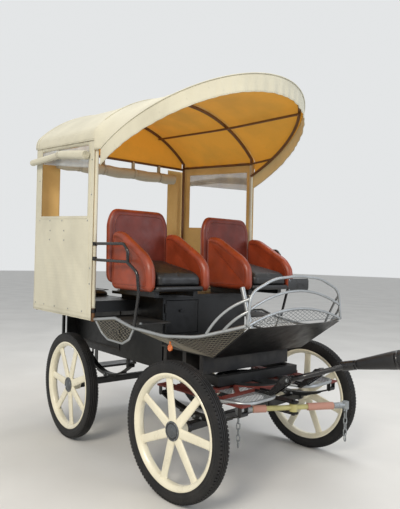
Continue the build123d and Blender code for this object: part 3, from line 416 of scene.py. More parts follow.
def make_finishes(colours):
    """Every material of the vehicle, each under the short name that the pieces use."""
    dark_canvas = shade(colours.canvas, 0.78)
    finishes.update(
        enamel=painted_steel("cream wheel enamel", colours.enamel, 0.3, coat=0.35, wear=0.9),
        steel=chassis_paint(colours),
        gloss_black=painted_steel("gloss black tube paint", linear("#141416"), 0.26, coat=0.3),
        silver=painted_steel("silver hammered tube paint", linear("#A9ADAF"), 0.36, 0.7, orange_mm=9),
        oxide=painted_steel("red oxide primer", linear("#6B2B22"), 0.62, orange_mm=4),
        mesh=painted_steel("grey painted expanded metal", linear("#8A8E90"), 0.42, 0.5),
        dark_mesh=painted_steel("dark painted expanded metal", linear("#8F8A7C"), 0.45, 0.5),
        plate=painted_steel("black plate enamel", linear("#141517"), 0.3, coat=0.4),
        hood_tube=painted_steel("brown hood tube paint", linear("#74502F"), 0.42),
        hub=painted_steel("machined steel hub cap", linear("#6A6E72"), 0.32, 0.85, patch_mm=30),
        stud=painted_steel("nickel plated stud", linear("#B9BBB8"), 0.24, 1.0),
        zinc=galvanised_steel(),
        rubber=tyre_rubber(),
        matting=ribbed_rubber(),
        canvas=hood_canvas("weathered cotton duck", colours.canvas, dark_canvas),
        # Inner face of the hanging band: a lighter colour and a faint emission, painted glow of daylight through
        # the cloth.
        canvas_shaded=hood_canvas("cotton duck band, painted glow inside", linear("#D9C592"), linear("#BFA670"), 0.14),
        # Inner face of the curtains and rear strips: a lighter tan and a faint emission, painted glow of daylight
        # through the cloth.
        canvas_lining=hood_canvas("cotton duck curtain, painted glow inside", linear("#D2B072"), linear("#B58E4A"), 0.12),
        # Inner face of roof, visor and gable: amber colour and an emission, painted glow of daylight through the
        # cloth.
        canvas_inside=hood_canvas(
            "cotton duck lit from behind", colours.canvas_inside, linear("#A9803A"), 0.3),
        leather=leather("terracotta seat leather", shade(colours.leather, 0.62), 0.36),
        # Forward faces of the seat backs: darker leather as painted shade under the hood.
        leather_dark=leather("terracotta leather, painted shade", linear("#6B2517"), 0.56),
        piping=leather("dark leather piping", shade(colours.leather, 0.5), 0.4, crease_mm=30),
        vinyl=leather("black cushion vinyl", colours.cushion, 0.42, 2.6),
        pad=leather("black pole cover leather", linear("#18181A"), 0.46, 3.0, 45),
        thread=painted_steel("waxed linen thread", linear("#CFC6A4"), 0.8, orange_mm=2),
        strap=leather("canvas strap webbing", shade(colours.canvas, 0.9), 0.8, 2.0, 25),
        sleeve=painted_steel("salmon rubber sleeve", linear("#BC8B7A"), 0.66, orange_mm=3),
        bar=painted_steel("pale yellow bar paint", linear("#B4AD74"), 0.45),
        clear=window_vinyl(),
        reflector=reflector_plastic(),
    )


# Mesh helpers
class Shape:
    """Corners and faces that are gathered before they become one mesh."""

    def __init__(self):
        self.corners = []
        self.faces = []
        self.finish_of = []

    def grid(self, rows, finish=0, ring=False, loop=False):
        """Faces between rows of points. A ring closes each row, and a loop joins the last row to the first."""
        start = len(self.corners)
        width = len(rows[0])
        for row in rows:
            self.corners.extend(Vector(p) for p in row)
        last_row = len(rows) if loop else len(rows) - 1
        last_column = width if ring else width - 1
        for r in range(last_row):
            below = start + r * width
            above = start + (r + 1) % len(rows) * width
            for c in range(last_column):
                d = (c + 1) % width
                self.faces.append([below + c, below + d, above + d, above + c])
                self.finish_of.append(finish)
        return start

    def cap(self, start, count, finish=0, flip=False):
        """Closes a ring of corners with one face."""
        ring = list(range(start, start + count))
        self.faces.append(ring[::-1] if flip else ring)
        self.finish_of.append(finish)

    def tube(self, route, radius, sides=12, closed=False):
        """A round tube along a line of points."""
        route = [Vector(p) for p in route]
        count = len(route)
        rows = []
        side = None
        for i, point in enumerate(route):
            ahead = route[(i + 1) % count] if closed else route[min(i + 1, count - 1)]
            behind = route[i - 1] if closed or i else route[0]
            line = (ahead - behind).normalized()
            if side is None:
                side = line.orthogonal().normalized()
            side = (side - line * side.dot(line)).normalized()
            rows.append([point + out * radius for out in circle(side, line.cross(side), sides)])
        if closed:
            self.grid(rows, ring=True, loop=True)
        else:
            self.loft(rows)

    def loft(self, rows):
        """A closed solid through rings of points, capped at both ends."""
        count = len(rows[0])
        start = self.grid(rows, ring=True)
        self.cap(start, count, flip=True)
        self.cap(start + (len(rows) - 1) * count, count)

    def lathe(self, profile, centre, axis, segments=48, finish=0, loop=False):
        """Turns a profile of (radius, distance along the axis) about an axis through a centre."""
        axis = Vector(axis).normalized()
        rows = [[centre + out * r + axis * h for r, h in profile] for out in around(axis, segments)]
        self.grid(rows, finish, ring=loop, loop=True)

    def skin(self, across, along, surface, thickness, keep=None, inner=1):
        """A thin closed sheet over a surface. Its outer face looks along the surface's normal."""
        last, width = len(across) - 1, len(along)
        points = [[Vector(surface(u, v)) for v in along] for u in across]
        start = len(self.corners)
        for row in points:
            self.corners.extend(row)
        back = len(self.corners)
        for i, row in enumerate(points):
            for j, point in enumerate(row):
                du = points[min(i + 1, last)][j] - points[max(i - 1, 0)][j]
                dv = row[min(j + 1, width - 1)] - row[max(j - 1, 0)]
                self.corners.append(point - du.cross(dv).normalized() * thickness)
        rim = {}
        area = 0
        for i in range(last):
            for j in range(width - 1):
                middle = ((across[i] + across[i + 1]) / 2, (along[j] + along[j + 1]) / 2)
                if keep and not keep(*middle):
                    continue
                ring = [i * width + j, (i + 1) * width + j, (i + 1) * width + j + 1, i * width + j + 1]
                a, b, c, d = (self.corners[start + k] for k in ring)
                area += ((b - a).cross(c - a).length + (c - a).cross(d - a).length) / 2
                self.faces += [[start + k for k in ring], [back + k for k in reversed(ring)]]
                self.finish_of += [0, inner]
                for first, second in zip(ring, ring[1:] + ring[:1]):
                    if (second, first) in rim:
                        del rim[(second, first)]
                    else:
                        rim[(first, second)] = True
        for first, second in rim:
            self.faces.append([start + second, start + first, back + first, back + second])
            self.finish_of.append(0)
        return area

    def pillow(self, outline, place, rings):
        """A padded slab: the outline shrinks ring by ring as it rises. Returns the rings, front and back."""
        edge = [Vector(p) for p in outline]
        levels = [(edge, 0.0)]
        done = 0.0
        for inset, height in rings:
            while done < inset - 1e-9:
                step = min(0.004, inset - done)
                edge = shrunk(edge, step)
                done += step
            levels.append((edge, height))
        count = len(outline)
        kept = []
        for side in (1, -1):
            rows = [[place(p.x, p.y, height * side) for p in level] for level, height in levels]
            start = self.grid(rows, ring=True)
            self.cap(start + (len(rows) - 1) * count, count, flip=side < 0)
            kept.append(rows)
        return kept

    def piece(self, name, materials, slot, body="chassis", angle=None):
        """Makes the mesh object, sound and facing outwards, and lets it ride on its body."""
        mesh = bpy.data.meshes.new(name)
        mesh.from_pydata([tuple(c) for c in self.corners], [], self.faces)
        for material in materials:
            mesh.materials.append(finishes[material])
        mesh.polygons.foreach_set("material_index", self.finish_of)
        tool = bmesh.new()
        tool.from_mesh(mesh)
        bmesh.ops.remove_doubles(tool, verts=tool.verts, dist=1e-6)
        bmesh.ops.recalc_face_normals(tool, faces=tool.faces)
        for face in tool.faces:
            face.smooth = True
        if angle is not None:
            for edge in tool.edges:
                edge.smooth = len(edge.link_faces) == 2 and edge.calc_face_angle(0) < radians(angle)
        tool.to_mesh(mesh)
        tool.free()
        made = placed(name, mesh)
        if body:
            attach(made, body)
        return made

    def cloth(self, name, *materials):
        """Makes a piece of the hood's canvas."""
        return self.piece(name, materials, "canvas_cream")


def placed(name, data):
    """A new object in the scene."""
    made = bpy.data.objects.new(name, data)
    bpy.context.scene.collection.objects.link(made)
    return made


def turn_of(outline):
    """1 where a flat outline runs anticlockwise, and -1 where it runs clockwise."""
    area = sum(a.x * b.y - b.x * a.y for a, b in zip(outline, outline[1:] + outline[:1]))
    return 1 if area > 0 else -1


def shrunk(edge, step):
    """An outline moved inwards by a small step, and smoothed a little so that it never folds."""
    count = len(edge)
    turn = turn_of(edge)
    moved = []
    for i in range(count):
        line = (edge[(i + 1) % count] - edge[i - 1]).normalized()
        moved.append(edge[i] + Vector((-line.y, line.x)) * turn * step)
    return [moved[i] * 0.7 + (moved[i - 1] + moved[(i + 1) % count]) * 0.15 for i in range(count)]


def curve(start, corner, end, t):
    """A point of the smooth curve from start to end that is pulled towards a corner."""
    return start * (1 - t) ** 2 + corner * 2 * t * (1 - t) + end * t ** 2


def eased(before, corner, after, radius, steps):
    """Points of the curve that rounds one corner of a line."""
    back, ahead = before - corner, after - corner
    reach = min(radius, back.length * 0.45, ahead.length * 0.45)
    start = corner + back.normalized() * reach
    end = corner + ahead.normalized() * reach
    return [curve(start, corner, end, k / steps) for k in range(steps + 1)]


def rounded(points, radius, spacing):
    """A closed outline with its corners rounded and its points evenly spaced."""
    corners = [Vector(p) for p in points]
    dense = []
    for before, corner, after in zip(corners[-1:] + corners, corners, corners[1:] + corners[:1]):
        dense += eased(before, corner, after, radius, 6)
    return resampled(dense, spacing, True)


def resampled(points, spacing, closed=False):
    """The same line with its points evenly spaced."""
    line = list(points) + ([points[0]] if closed else [])
    lengths = [(b - a).length for a, b in zip(line, line[1:])]
    total = sum(lengths)
    count = max(3, round(total / spacing))
    made = []
    at, passed = 0, 0.0
    for k in range(count if closed else count + 1):
        goal = total * k / count
        while at < len(lengths) - 1 and passed + lengths[at] < goal:
            passed += lengths[at]
            at += 1
        share = (goal - passed) / lengths[at] if lengths[at] else 0
        made.append(line[at].lerp(line[at + 1], min(1, share)))
    return made


def bent(points, radius, spacing):
    """An open line through corner points, with its corners rounded."""
    corners = [Vector(p) for p in points]
    dense = corners[:1]
    for before, corner, after in zip(corners, corners[1:], corners[2:]):
        dense += eased(before, corner, after, radius, 8)
    return resampled(dense + corners[-1:], spacing)


def rectangle(low_x, low_y, high_x, high_y):
    """The corners of a flat rectangle."""
    return [Vector((low_x, low_y)), Vector((high_x, low_y)), Vector((high_x, high_y)), Vector((low_x, high_y))]


def circle(side, other, count, first=0.0):
    """Evenly spaced directions round a circle, from side towards other."""
    turns = [first + 2 * pi * k / count for k in range(count)]
    return [side * cos(t) + other * sin(t) for t in turns]


def around(axis, count, first=0.0):
    """Evenly spaced directions round an axis."""
    side = axis.orthogonal().normalized()
    return circle(side, axis.cross(side), count, first)


def mirrored(profile):
    """The other half of a symmetric profile, to run on from the first."""
    return [(radius, -along) for radius, along in reversed(profile)]


def spread(low, high, count):
    """Evenly spaced values from low to high."""
    return [low + (high - low) * k / count for k in range(count + 1)]


def ripple(point, size, seed):
    """Smooth noise between about -1 and 1, with waves about size metres long."""
    return noise.noise(Vector(point) / size + Vector((seed * 7.3, seed * 3.1, seed * 1.7)))


# Geometry node trees
def new_tree(name, sockets):
    """A geometry tree with named inputs, and its input and output nodes."""
    tree = bpy.data.node_groups.new(name, "GeometryNodeTree")
    tree.interface.new_socket(name="Geometry", in_out="OUTPUT", socket_type="NodeSocketGeometry")
    for label, kind in (("Geometry", "NodeSocketGeometry"), *sockets):
        tree.interface.new_socket(name=label, in_out="INPUT", socket_type=kind)
    return tree, node(tree, "NodeGroupInput")


def end_tree(tree, given, geometry):
    """Ends a tree: makes its copies real and gives them their finish."""
    real = node(tree, "GeometryNodeRealizeInstances", {"Geometry": geometry})
    done = node(
        tree, "GeometryNodeSetMaterial",
        {"Geometry": real.outputs["Geometry"], "Material": given.outputs["Finish"]})
    node(tree, "NodeGroupOutput", {"Geometry": done.outputs["Geometry"]})
    return tree


def strands_tree():
    """Turns every edge of a mesh into a thin square strand."""
    tree, given = new_tree(
        "strands along edges", (("Strand", "NodeSocketFloat"), ("Finish", "NodeSocketMaterial")))
    lines = node(tree, "GeometryNodeMeshToCurve", {"Mesh": given.outputs["Geometry"]})
    section = node(
        tree, "GeometryNodeCurvePrimitiveCircle", {"Resolution": 4, "Radius": given.outputs["Strand"]})
    wires = node(
        tree, "GeometryNodeCurveToMesh",
        {"Curve": lines.outputs["Curve"], "Profile Curve": section.outputs["Curve"], "Fill Caps": True})
    return end_tree(tree, given, wires.outputs["Mesh"])


def repeats_tree():
    """Sets a small piece on every point, its Z along the point's 'up' and its X towards 'along'."""
    tree, given = new_tree(
        "repeats on points", (("Piece", "NodeSocketObject"), ("Finish", "NodeSocketMaterial")))
    pattern = node(tree, "GeometryNodeObjectInfo", {"Object": given.outputs["Piece"]})
    up, along = (
        node(tree, "GeometryNodeInputNamedAttribute", {"Name": word}, data_type="FLOAT_VECTOR")
        for word in ("up", "along"))
    standing = node(
        tree, "FunctionNodeAlignRotationToVector", {"Vector": up.outputs["Attribute"]}, axis="Z")
    facing = node(
        tree, "FunctionNodeAlignRotationToVector",
        {"Rotation": standing.outputs["Rotation"], "Vector": along.outputs["Attribute"]},
        axis="X", pivot_axis="Z")
    copies = node(
        tree, "GeometryNodeInstanceOnPoints",
        {"Points": given.outputs["Geometry"], "Instance": pattern.outputs["Geometry"],
         "Rotation": facing.outputs["Rotation"]})
    return end_tree(tree, given, copies.outputs["Instances"])


def evaluated_mesh(piece):
    """A mesh of the piece with its modifiers done."""
    graph = bpy.context.evaluated_depsgraph_get()
    return bpy.data.meshes.new_from_object(piece.evaluated_get(graph))


def run_tree(source, tree, values, body, smooth=True):
    """Runs a tree on an object, turns the result into its plain mesh, and lets it ride on its body."""
    modifier = source.modifiers.new("build", "NODES")
    modifier.node_group = tree
    for socket in tree.interface.items_tree:
        if socket.item_type == "SOCKET" and socket.in_out == "INPUT" and socket.name in values:
            modifier[socket.identifier] = values[socket.name]
    mesh = evaluated_mesh(source)
    source.modifiers.remove(modifier)
    source.data = mesh
    for face in mesh.polygons:
        face.use_smooth = smooth
    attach(source, body)
    return source


def strands(name, segments, radius, finish, body):
    """One mesh of thin strands along straight segments."""
    mesh = bpy.data.meshes.new(name)
    points = [tuple(p) for segment in segments for p in segment]
    mesh.from_pydata(points, [(2 * i, 2 * i + 1) for i in range(len(segments))], [])
    values = {"Strand": radius, "Finish": finishes[finish]}
    return run_tree(placed(name, mesh), trees["strands"], values, body, smooth=False)


def repeats(name, spots, pattern, finish, body, smooth=True):
    """One mesh of copies of a small shape. Each spot is a place, its up direction and its along direction."""
    mesh = bpy.data.meshes.new(name)
    mesh.from_pydata([tuple(spot[0]) for spot in spots], [], [])
    for index, word in ((1, "up"), (2, "along")):
        attribute = mesh.attributes.new(word, "FLOAT_VECTOR", "POINT")
        attribute.data.foreach_set("vector", [c for spot in spots for c in Vector(spot[index])])
    stamp = pattern.piece(name + "_pattern", [finish], None, None, angle=35)
    values = {"Piece": stamp, "Finish": finishes[finish]}
    made = run_tree(placed(name, mesh), trees["repeats"], values, body, smooth)
    bpy.data.objects.remove(stamp)
    return made


trees = {}


def stud_shape(radius):
    """A domed snap stud with its rim, standing on the XY plane."""
    shape = Shape()
    profile = ((1, 0), (1, 0.25), (0.72, 0.42), (0.5, 0.38), (0.3, 0.5), (0, 0.56), (0, 0))
    shape.lathe([(radius * r, radius * h) for r, h in profile], Vector(), (0, 0, 1), 10, loop=True)
    return shape


def nut_shape(radius, height):
    """A hexagon nut with a washer and a rounded bolt end, standing on the XY plane."""
    shape = Shape()
    up = Vector((0, 0, 1))
    washer = ((0, 0), (1.5, 0), (1.5, 0.2), (0, 0.2))
    bolt = ((0.55, 1.0), (0.55, 1.4), (0.35, 1.55), (0, 1.58))
    for profile, segments in ((washer, 16), (bolt, 10)):
        shape.lathe([(radius * r, height * h) for r, h in profile], Vector(), up, segments)
    corners = circle(Vector((radius * 1.15, 0, 0)), Vector((0, radius * 1.15, 0)), 6)
    rows = [[c * s + up * height * h for c in corners] for s, h in ((1, 0.2), (1, 0.95), (0.86, 1.1))]
    start = shape.grid(rows, ring=True)
    shape.cap(start + 12, 6)
    return shape


# Wheels
def wheel_frames():
    """Name, centre, outward axis and first spoke's angle of each wheel."""
    found = []
    for word, first in (("front_right", 100), ("front_left", 88), ("rear_right", 72), ("rear_left", 75)):
        joint = joints[word + "_wheel_spin"]
        outward = Vector(joint["axis"]) * (1 if word.endswith("left") else -1)
        found.append((word, Vector(joint["pos_m"]), outward, radians(first)))
    return found


rim_radius = 0.352
rim_half = 0.038
tyre_radius = 0.430
tyre_half = 0.040
spoke_count = 7
spoke_foot = 0.040
spoke_end = 0.325
axle_height = 0.430
beam_half = 0.638
spindle_half = 0.737


def add_spoke(shape, centre, outward, turn):
    """A flattened spoke, dished outwards, that swells into its welds at hub and rim."""
    forward = Vector((0, 0, 1)).cross(outward)
    if forward.x < 0:
        forward = -forward
    along = forward * cos(turn) + Vector((0, 0, 1)) * sin(turn)
    across = outward.cross(along)
    rows = []
    # share of the length, half width, half thickness
    for share, wide, thick in (
        (0.00, 0.039, 0.0165), (0.04, 0.034, 0.0138), (0.10, 0.0308, 0.0120), (0.30, 0.0298, 0.0114),
        (0.60, 0.0278, 0.0107), (0.88, 0.0264, 0.0104), (0.96, 0.0288, 0.0118), (1.00, 0.034, 0.0145),
    ):
        reach = spoke_foot + (spoke_end - spoke_foot) * share
        middle = centre + along * reach + outward * 0.004 * (1 - share)
        row = []
        for k in range(20):
            c, s = cos(pi * k / 10), sin(pi * k / 10)
            x = copysign(abs(c) ** 0.6, c) * wide
            y = copysign(abs(s) ** 0.8, s) * thick
            row.append(middle + across * x + outward * y)
        rows.append(row)
    shape.loft(rows)


def make_wheel(word, centre, outward, first):
    """The enamelled wheel: rolled rim, welded spokes and turned hub."""
    shape = Shape()
    well = rim_radius - 0.030
    rim = [
        (well + 0.005, 0.014), (well + 0.008, 0.020), (rim_radius - 0.011, rim_half - 0.010),
        (rim_radius, rim_half - 0.0065), (rim_radius + 0.002, rim_half - 0.004), (rim_radius, rim_half - 0.002),
        (rim_radius - 0.006, rim_half - 0.001), (rim_radius - 0.013, rim_half - 0.003), (well + 0.010, 0.026),
        (well + 0.001, 0.021), (well - 0.002, 0.012),
    ]
    shape.lathe(rim + [(well - 0.0025, 0.0)] + mirrored(rim), centre, outward, 96, loop=True)
    hub = [
        (0.0155, -0.078), (0.043, -0.078), (0.046, -0.075), (0.046, -0.014), (0.050, -0.004), (0.058, 0.003),
        (0.062, 0.007), (0.063, 0.012), (0.061, 0.016), (0.0155, 0.016),
    ]
    shape.lathe(hub, centre, outward, 48, loop=True)
    for index in range(spoke_count):
        add_spoke(shape, centre, outward, first + index * 2 * pi / spoke_count)
    piece = shape.piece(f"enamelled_wheel_{word}", ["enamel"], "cream_paint", "wheel_" + word, angle=50)
    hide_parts("wheel_" + word)


def make_tyre(word, centre, outward, sizes):
    """The tyre: moulded walls with rings, ribbed tread, and blocks along both shoulders."""
    shape = Shape()
    bead = rim_half - 0.0075
    wall = [
        (rim_radius - 0.010, bead - 0.004), (rim_radius + 0.004, bead + 0.001),
        (rim_radius + 0.012, bead + 0.005), (rim_radius + 0.015, bead + 0.0045),
        (rim_radius + 0.024, tyre_half - 0.002),
        (rim_radius + 0.030, tyre_half), (rim_radius + 0.034, tyre_half - 0.0012),
        (rim_radius + 0.046, tyre_half), (tyre_radius - 0.022, tyre_half - 0.001),
        (tyre_radius - 0.012, tyre_half - 0.005), (tyre_radius - 0.011, 0.026),
    ]
    # the ribs and the grooves between them, from the shoulder to the middle
    ribs = [
        (tyre_radius - 0.0025, 0.0245), (tyre_radius - 0.0015, 0.0180), (tyre_radius - 0.009, 0.0170),
        (tyre_radius - 0.009, 0.0125), (tyre_radius - 0.001, 0.0115), (tyre_radius, 0.0035),
        (tyre_radius - 0.008, 0.0025),
    ]
    half = wall + ribs
    shape.lathe(half + mirrored(half), centre, outward, 120, loop=True)
    body = "wheel_" + word
    tyre = shape.piece(f"ribbed_tyre_{word}", ["rubber"], "tyre", body, angle=40)
    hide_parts("tyre_" + word)
    # a shoulder block: X round the tyre, Y outwards across it, Z away from the axle
    block = Shape()
    foot = [(-0.0098, -0.005), (0.0066, -0.005), (0.0098, 0.010), (-0.0066, 0.010)]
    rows = []
    for height, share, lean in ((-0.004, 1.0, 0.0), (0.006375, 0.96, 0.0018), (0.00765, 0.86, 0.0018)):
        rows.append([Vector((x * share, y * share - lean, height)) for x, y in foot])
    block.loft(rows)
    spots = []
    count = sizes.tread_blocks
    for edge, first in ((-1, 0.0), (1, pi / count)):
        for out in around(outward, count, first):
            spot = centre + out * (tyre_radius - 0.0125) + outward * edge * 0.0285
            spots.append((spot, out, outward.cross(out) * edge))
    repeats(f"tread_blocks_{word}", spots, block, "rubber", body, smooth=False)


def make_hub_cap(word, centre, outward):
    """The turned steel cap: a ring with six small screws, a dark groove and a blank, low dome."""
    shape = Shape()
    face = 0.0162
    # radius, height above the hub's face
    profile = [
        (0.0, 0.0), (0.060, 0.0), (0.0605, 0.001), (0.0605, 0.004), (0.057, 0.0065), (0.0512, 0.0070),
        (0.0495, 0.0040), (0.043, 0.0040), (0.0415, 0.0062), (0.034, 0.0085), (0.024, 0.0104), (0.012, 0.0115),
        (0.0, 0.0120),
    ]
    shape.lathe([(r, face + h) for r, h in profile], centre, outward, 64)
    ring = [(0.0428, face + 0.0038), (0.0497, face + 0.0038), (0.0497, face + 0.0046), (0.0428, face + 0.0046)]
    shape.lathe(ring, centre, outward, 64, finish=1, loop=True)
    piece = shape.piece(f"turned_hub_cap_{word}", ["hub", "plate"], "hub_grey", "wheel_" + word, angle=30)
    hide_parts("hub_cap_" + word)
    top = centre + outward * (face + 0.0062)
    spots = [(top + out * 0.0545, outward, out) for out in around(outward, 6, 0.3)]
    repeats(f"hub_screws_{word}", spots, stud_shape(0.0035), "stud", "wheel_" + word)


def add_bar(shape, start, end, width, height, up=(0, 0, 1), bevel=0.003):
    """A straight bar with chamfered edges, its width across the run and its height along up."""
    start, end = Vector(start), Vector(end)
    line = (end - start).normalized()
    across = line.cross(Vector(up)).normalized()
    over = across.cross(line)
    a, b = width / 2, height / 2
    section = [(a, b - bevel), (a - bevel, b), (bevel - a, b), (-a, b - bevel)]
    section += [(-x, -y) for x, y in section]
    shape.loft([[point + across * x + over * y for x, y in section] for point in (start, end)])


def make_axles():
    """The two square axle beams with their shoulders and spindles."""
    shoulder = [
        (0, 0.600), (0.034, 0.600), (0.038, 0.604), (0.038, 0.634), (0.034, 0.640), (0.015, 0.640),
        (0.015, spindle_half), (0, spindle_half),
    ]
    for name, node_name, middle, line, body in (
        ("front_axle_beam", "front_axle", steered((0, 0, axle_height)), front_axle_line, "front_carriage"),
        ("rear_axle_beam", "rear_axle", Vector((rear_x, 0, axle_height)), Vector((0, 1, 0)), "chassis"),
    ):
        shape = Shape()
        add_bar(shape, middle - line * beam_half, middle + line * beam_half, 0.050, 0.050, bevel=0.004)
        for side in (-1, 1):
            shape.lathe(shoulder, middle, line * side, 28)
        axle = shape.piece(name, ["steel"], "black_steel", body, angle=40)
        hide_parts(node_name)


class WAGONETTE_OT_wheels(bpy.types.Operator):
    """Builds the four enamelled wheels, their tyres and hub caps, and the axles"""

    bl_idname = "wagonette.wheels"
    bl_label = "Wheels"

    def execute(self, context):
        sizes = context.scene.wagonette_sizes
        for word, centre, outward, first in wheel_frames():
            make_wheel(word, centre, outward, first)
            make_tyre(word, centre, outward, sizes)
            make_hub_cap(word, centre, outward)
        make_axles()
        return {"FINISHED"}


# Hood cloth
def hoop_height(crown, y, lift=cloth_lift):
    """Height of the cloth over a hoop, so far from the middle."""
    reach = hood_radius + lift
    return crown - hood_radius + sqrt(reach ** 2 - y ** 2)


def crown_at(x):
    """Height of the hood's crown, which falls from the rear hoop to the front one."""
    return rear_crown + (front_crown - rear_crown) * (x - post_rear_x) / (post_front_x - post_rear_x)


def eave_at(x):
    """Height of the hood's frame over the posts' line."""
    return hoop_height(crown_at(x), post_y, 0)


def on_hoop(x, crown, turn, reach=hood_radius):
    """A point on a hoop's arc, or at another reach from its centre, so far round from the crown."""
    return Vector((x, reach * sin(turn), crown - hood_radius + reach * cos(turn)))


def roof_section(x, share):
    """A point of the roof cloth. The share runs from the right skirt's foot over the crown to the left one."""
    crown = crown_at(x)
    half = cloth_half + 0.004
    top = hoop_height(crown, half)
    foot = eave_at(x) - eave_drop
    skirt = top - foot
    reach = hood_radius + cloth_lift
    turn = asin(half / reach)
    arc = 2 * turn * reach
    run = share * (2 * skirt + arc)

    def at(run):
        if run < skirt:
            return Vector((x, -half, foot + run))
        if run > skirt + arc:
            return Vector((x, half, top - (run - skirt - arc)))
        return on_hoop(x, crown, (run - skirt) / reach - turn, reach)

    for bend in (skirt, skirt + arc):
        off = (run - bend) / skirt_bend
        if abs(off) < 1:
            return curve(at(bend - skirt_bend), at(bend), at(bend + skirt_bend), (off + 1) / 2)
    return at(run)


def roof_length():
    """Length of the roof cloth from hem to hem, measured over the crown."""
    points = [roof_section(post_front_x, s) for s in spread(0, 1, 60)]
    return sum((b - a).length for a, b in zip(points, points[1:]))


def make_roof():
    """The roof cloth: pulled over the two hoops, with a little sag between them and loose skirts."""
    rear = post_rear_x - 0.043
    front = post_front_x + 0.014

    def surface(share, x):
        point = roof_section(x, share)
        middle = sin(pi * (x - post_rear_x) / (post_front_x - post_rear_x))
        over = 1 - abs(2 * share - 1) ** 6
        sag = 0.010 * max(0, middle) * over
        wave = 0.003 * ripple(point, 0.22, 1)
        inwards = (Vector((x, 0, crown_at(x) - hood_radius)) - point).normalized()
        loose = 0.003 * (1 - over) * sin(x * 34) if share < 0.06 or share > 0.94 else 0
        return point + inwards * (sag + wave * over) + Vector((0, loose, 0))

    shape = Shape()
    area = shape.skin(spread(1, 0, 96), spread(rear, front, 44), surface, canvas_skin)
    # Inner face: amber with emission, painted glow of daylight through the cloth.
    piece = shape.cloth("canvas_roof", "canvas", "canvas_inside")
    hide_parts("canopy_roof")
    flat = (roof_length() * 1.01, (front - rear) * 1.01)


def on_visor(across, along, below=0.0):
    """A point in the visor's leaning plane, along measured up from its foot, or so far below the plane."""
    return Vector((
        post_front_x + 0.030 + along * cos(visor_lean) + below * sin(visor_lean),
        across,
        visor_foot + along * sin(visor_lean) - below * cos(visor_lean),
    ))


def visor_rim_point(share, rim=visor_rim + 0.004):
    """A point on the cloth's front rim: up the right leg, round the front, down the left leg."""
    if leg_share <= share <= 1 - leg_share:
        t = pi * (share - leg_share) / (1 - 2 * leg_share)
        point = on_visor(-rim * cos(t), visor_leg + (rim + rim_stretch) * sin(t), -0.0055)
    else:
        side, up = (-1, share) if share < 0.5 else (1, 1 - share)
        point = on_visor(side * rim, 0.010 + (visor_leg - 0.010) * up / leg_share, -0.0055)
    return point + Vector((0.004, 0, 0))


def hoop_rim_point(share):
    """The matching point on the front hoop's cloth line."""
    half = cloth_half + 0.004
    x = post_front_x + 0.0155
    if leg_share <= share <= 1 - leg_share:
        reach = hood_radius + cloth_lift
        turn = asin(half / reach)
        return on_hoop(x, front_crown, turn * (2 * (share - leg_share) / (1 - 2 * leg_share) - 1), reach)
    side, up = (-1, share) if share < 0.5 else (1, 1 - share)
    top = hoop_height(front_crown, half)
    return Vector((x, side * half, visor_foot + (top - visor_foot) * up / leg_share))


def make_visor():
    """The visor cloth: a curved sheet from the front hoop to the leaning hoop, hollowed by its pull."""

    def surface(share, out):
        point = hoop_rim_point(share).lerp(visor_rim_point(share), out)
        pull = 4 * out * (1 - out)
        inwards = (Vector((point.x, 0, 2.1)) - point).normalized()
        over = 1 - abs(2 * share - 1) ** 8
        return point + inwards * over * (0.012 * pull + 0.0035 * pull * ripple(point, 0.2, 4))

    shape = Shape()
    leg = spread(1, 1 - leg_share, 4)
    shares = leg + spread(1 - leg_share, leg_share, 92)[1:-1] + [1 - share for share in reversed(leg)]
    area = shape.skin(shares, spread(0, 1, 30), surface, canvas_skin)
    # Inner face: amber with emission, painted glow of daylight through the cloth.
    piece = shape.cloth("canvas_visor", "canvas", "canvas_inside")
    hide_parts("canopy_visor")
    rim = sum((visor_rim_point(a) - visor_rim_point(b)).length for a, b in zip(shares, shares[1:]))
    wide = max(rim, roof_length()) * 1.05

    def band(share, down):
        top = visor_rim_point(share, visor_rim + 0.0055)
        even = 1 - abs(2 * share - 1) ** 3
        wave = 0.0034 * sin(share * 230 + 3 * ripple(top, 0.2, 3)) + 0.006 * ripple(top, 0.07, 8)
        outwards = Vector((top.x - post_front_x - 0.35, top.y, 0)).normalized()
        hem = 0.003 * ripple(top, 0.3, 12)
        drop = Vector((0, 0, -(band_depth - 0.004 + hem) * down + 0.001))
        return top + outwards * (wave * down * even) + drop

    shape = Shape()
    shares = spread(1, 0, 300)
    area = shape.skin(shares, spread(0, 1, 8), band, canvas_skin)
    # The band's inner face gets a lighter colour with a faint emission: painted glow of daylight through the
    # cloth.
    piece = shape.cloth("canvas_band", "canvas", "canvas_shaded")
    hem = Shape()
    hem.tube([band(s, 0.985) for s in shares], 0.0032, 6)
    hem.tube([visor_rim_point(s, visor_rim + 0.0075) + Vector((0.001, 0, 0.002)) for s in shares], 0.0036, 6)
    hem.cloth("band_piping", "canvas")


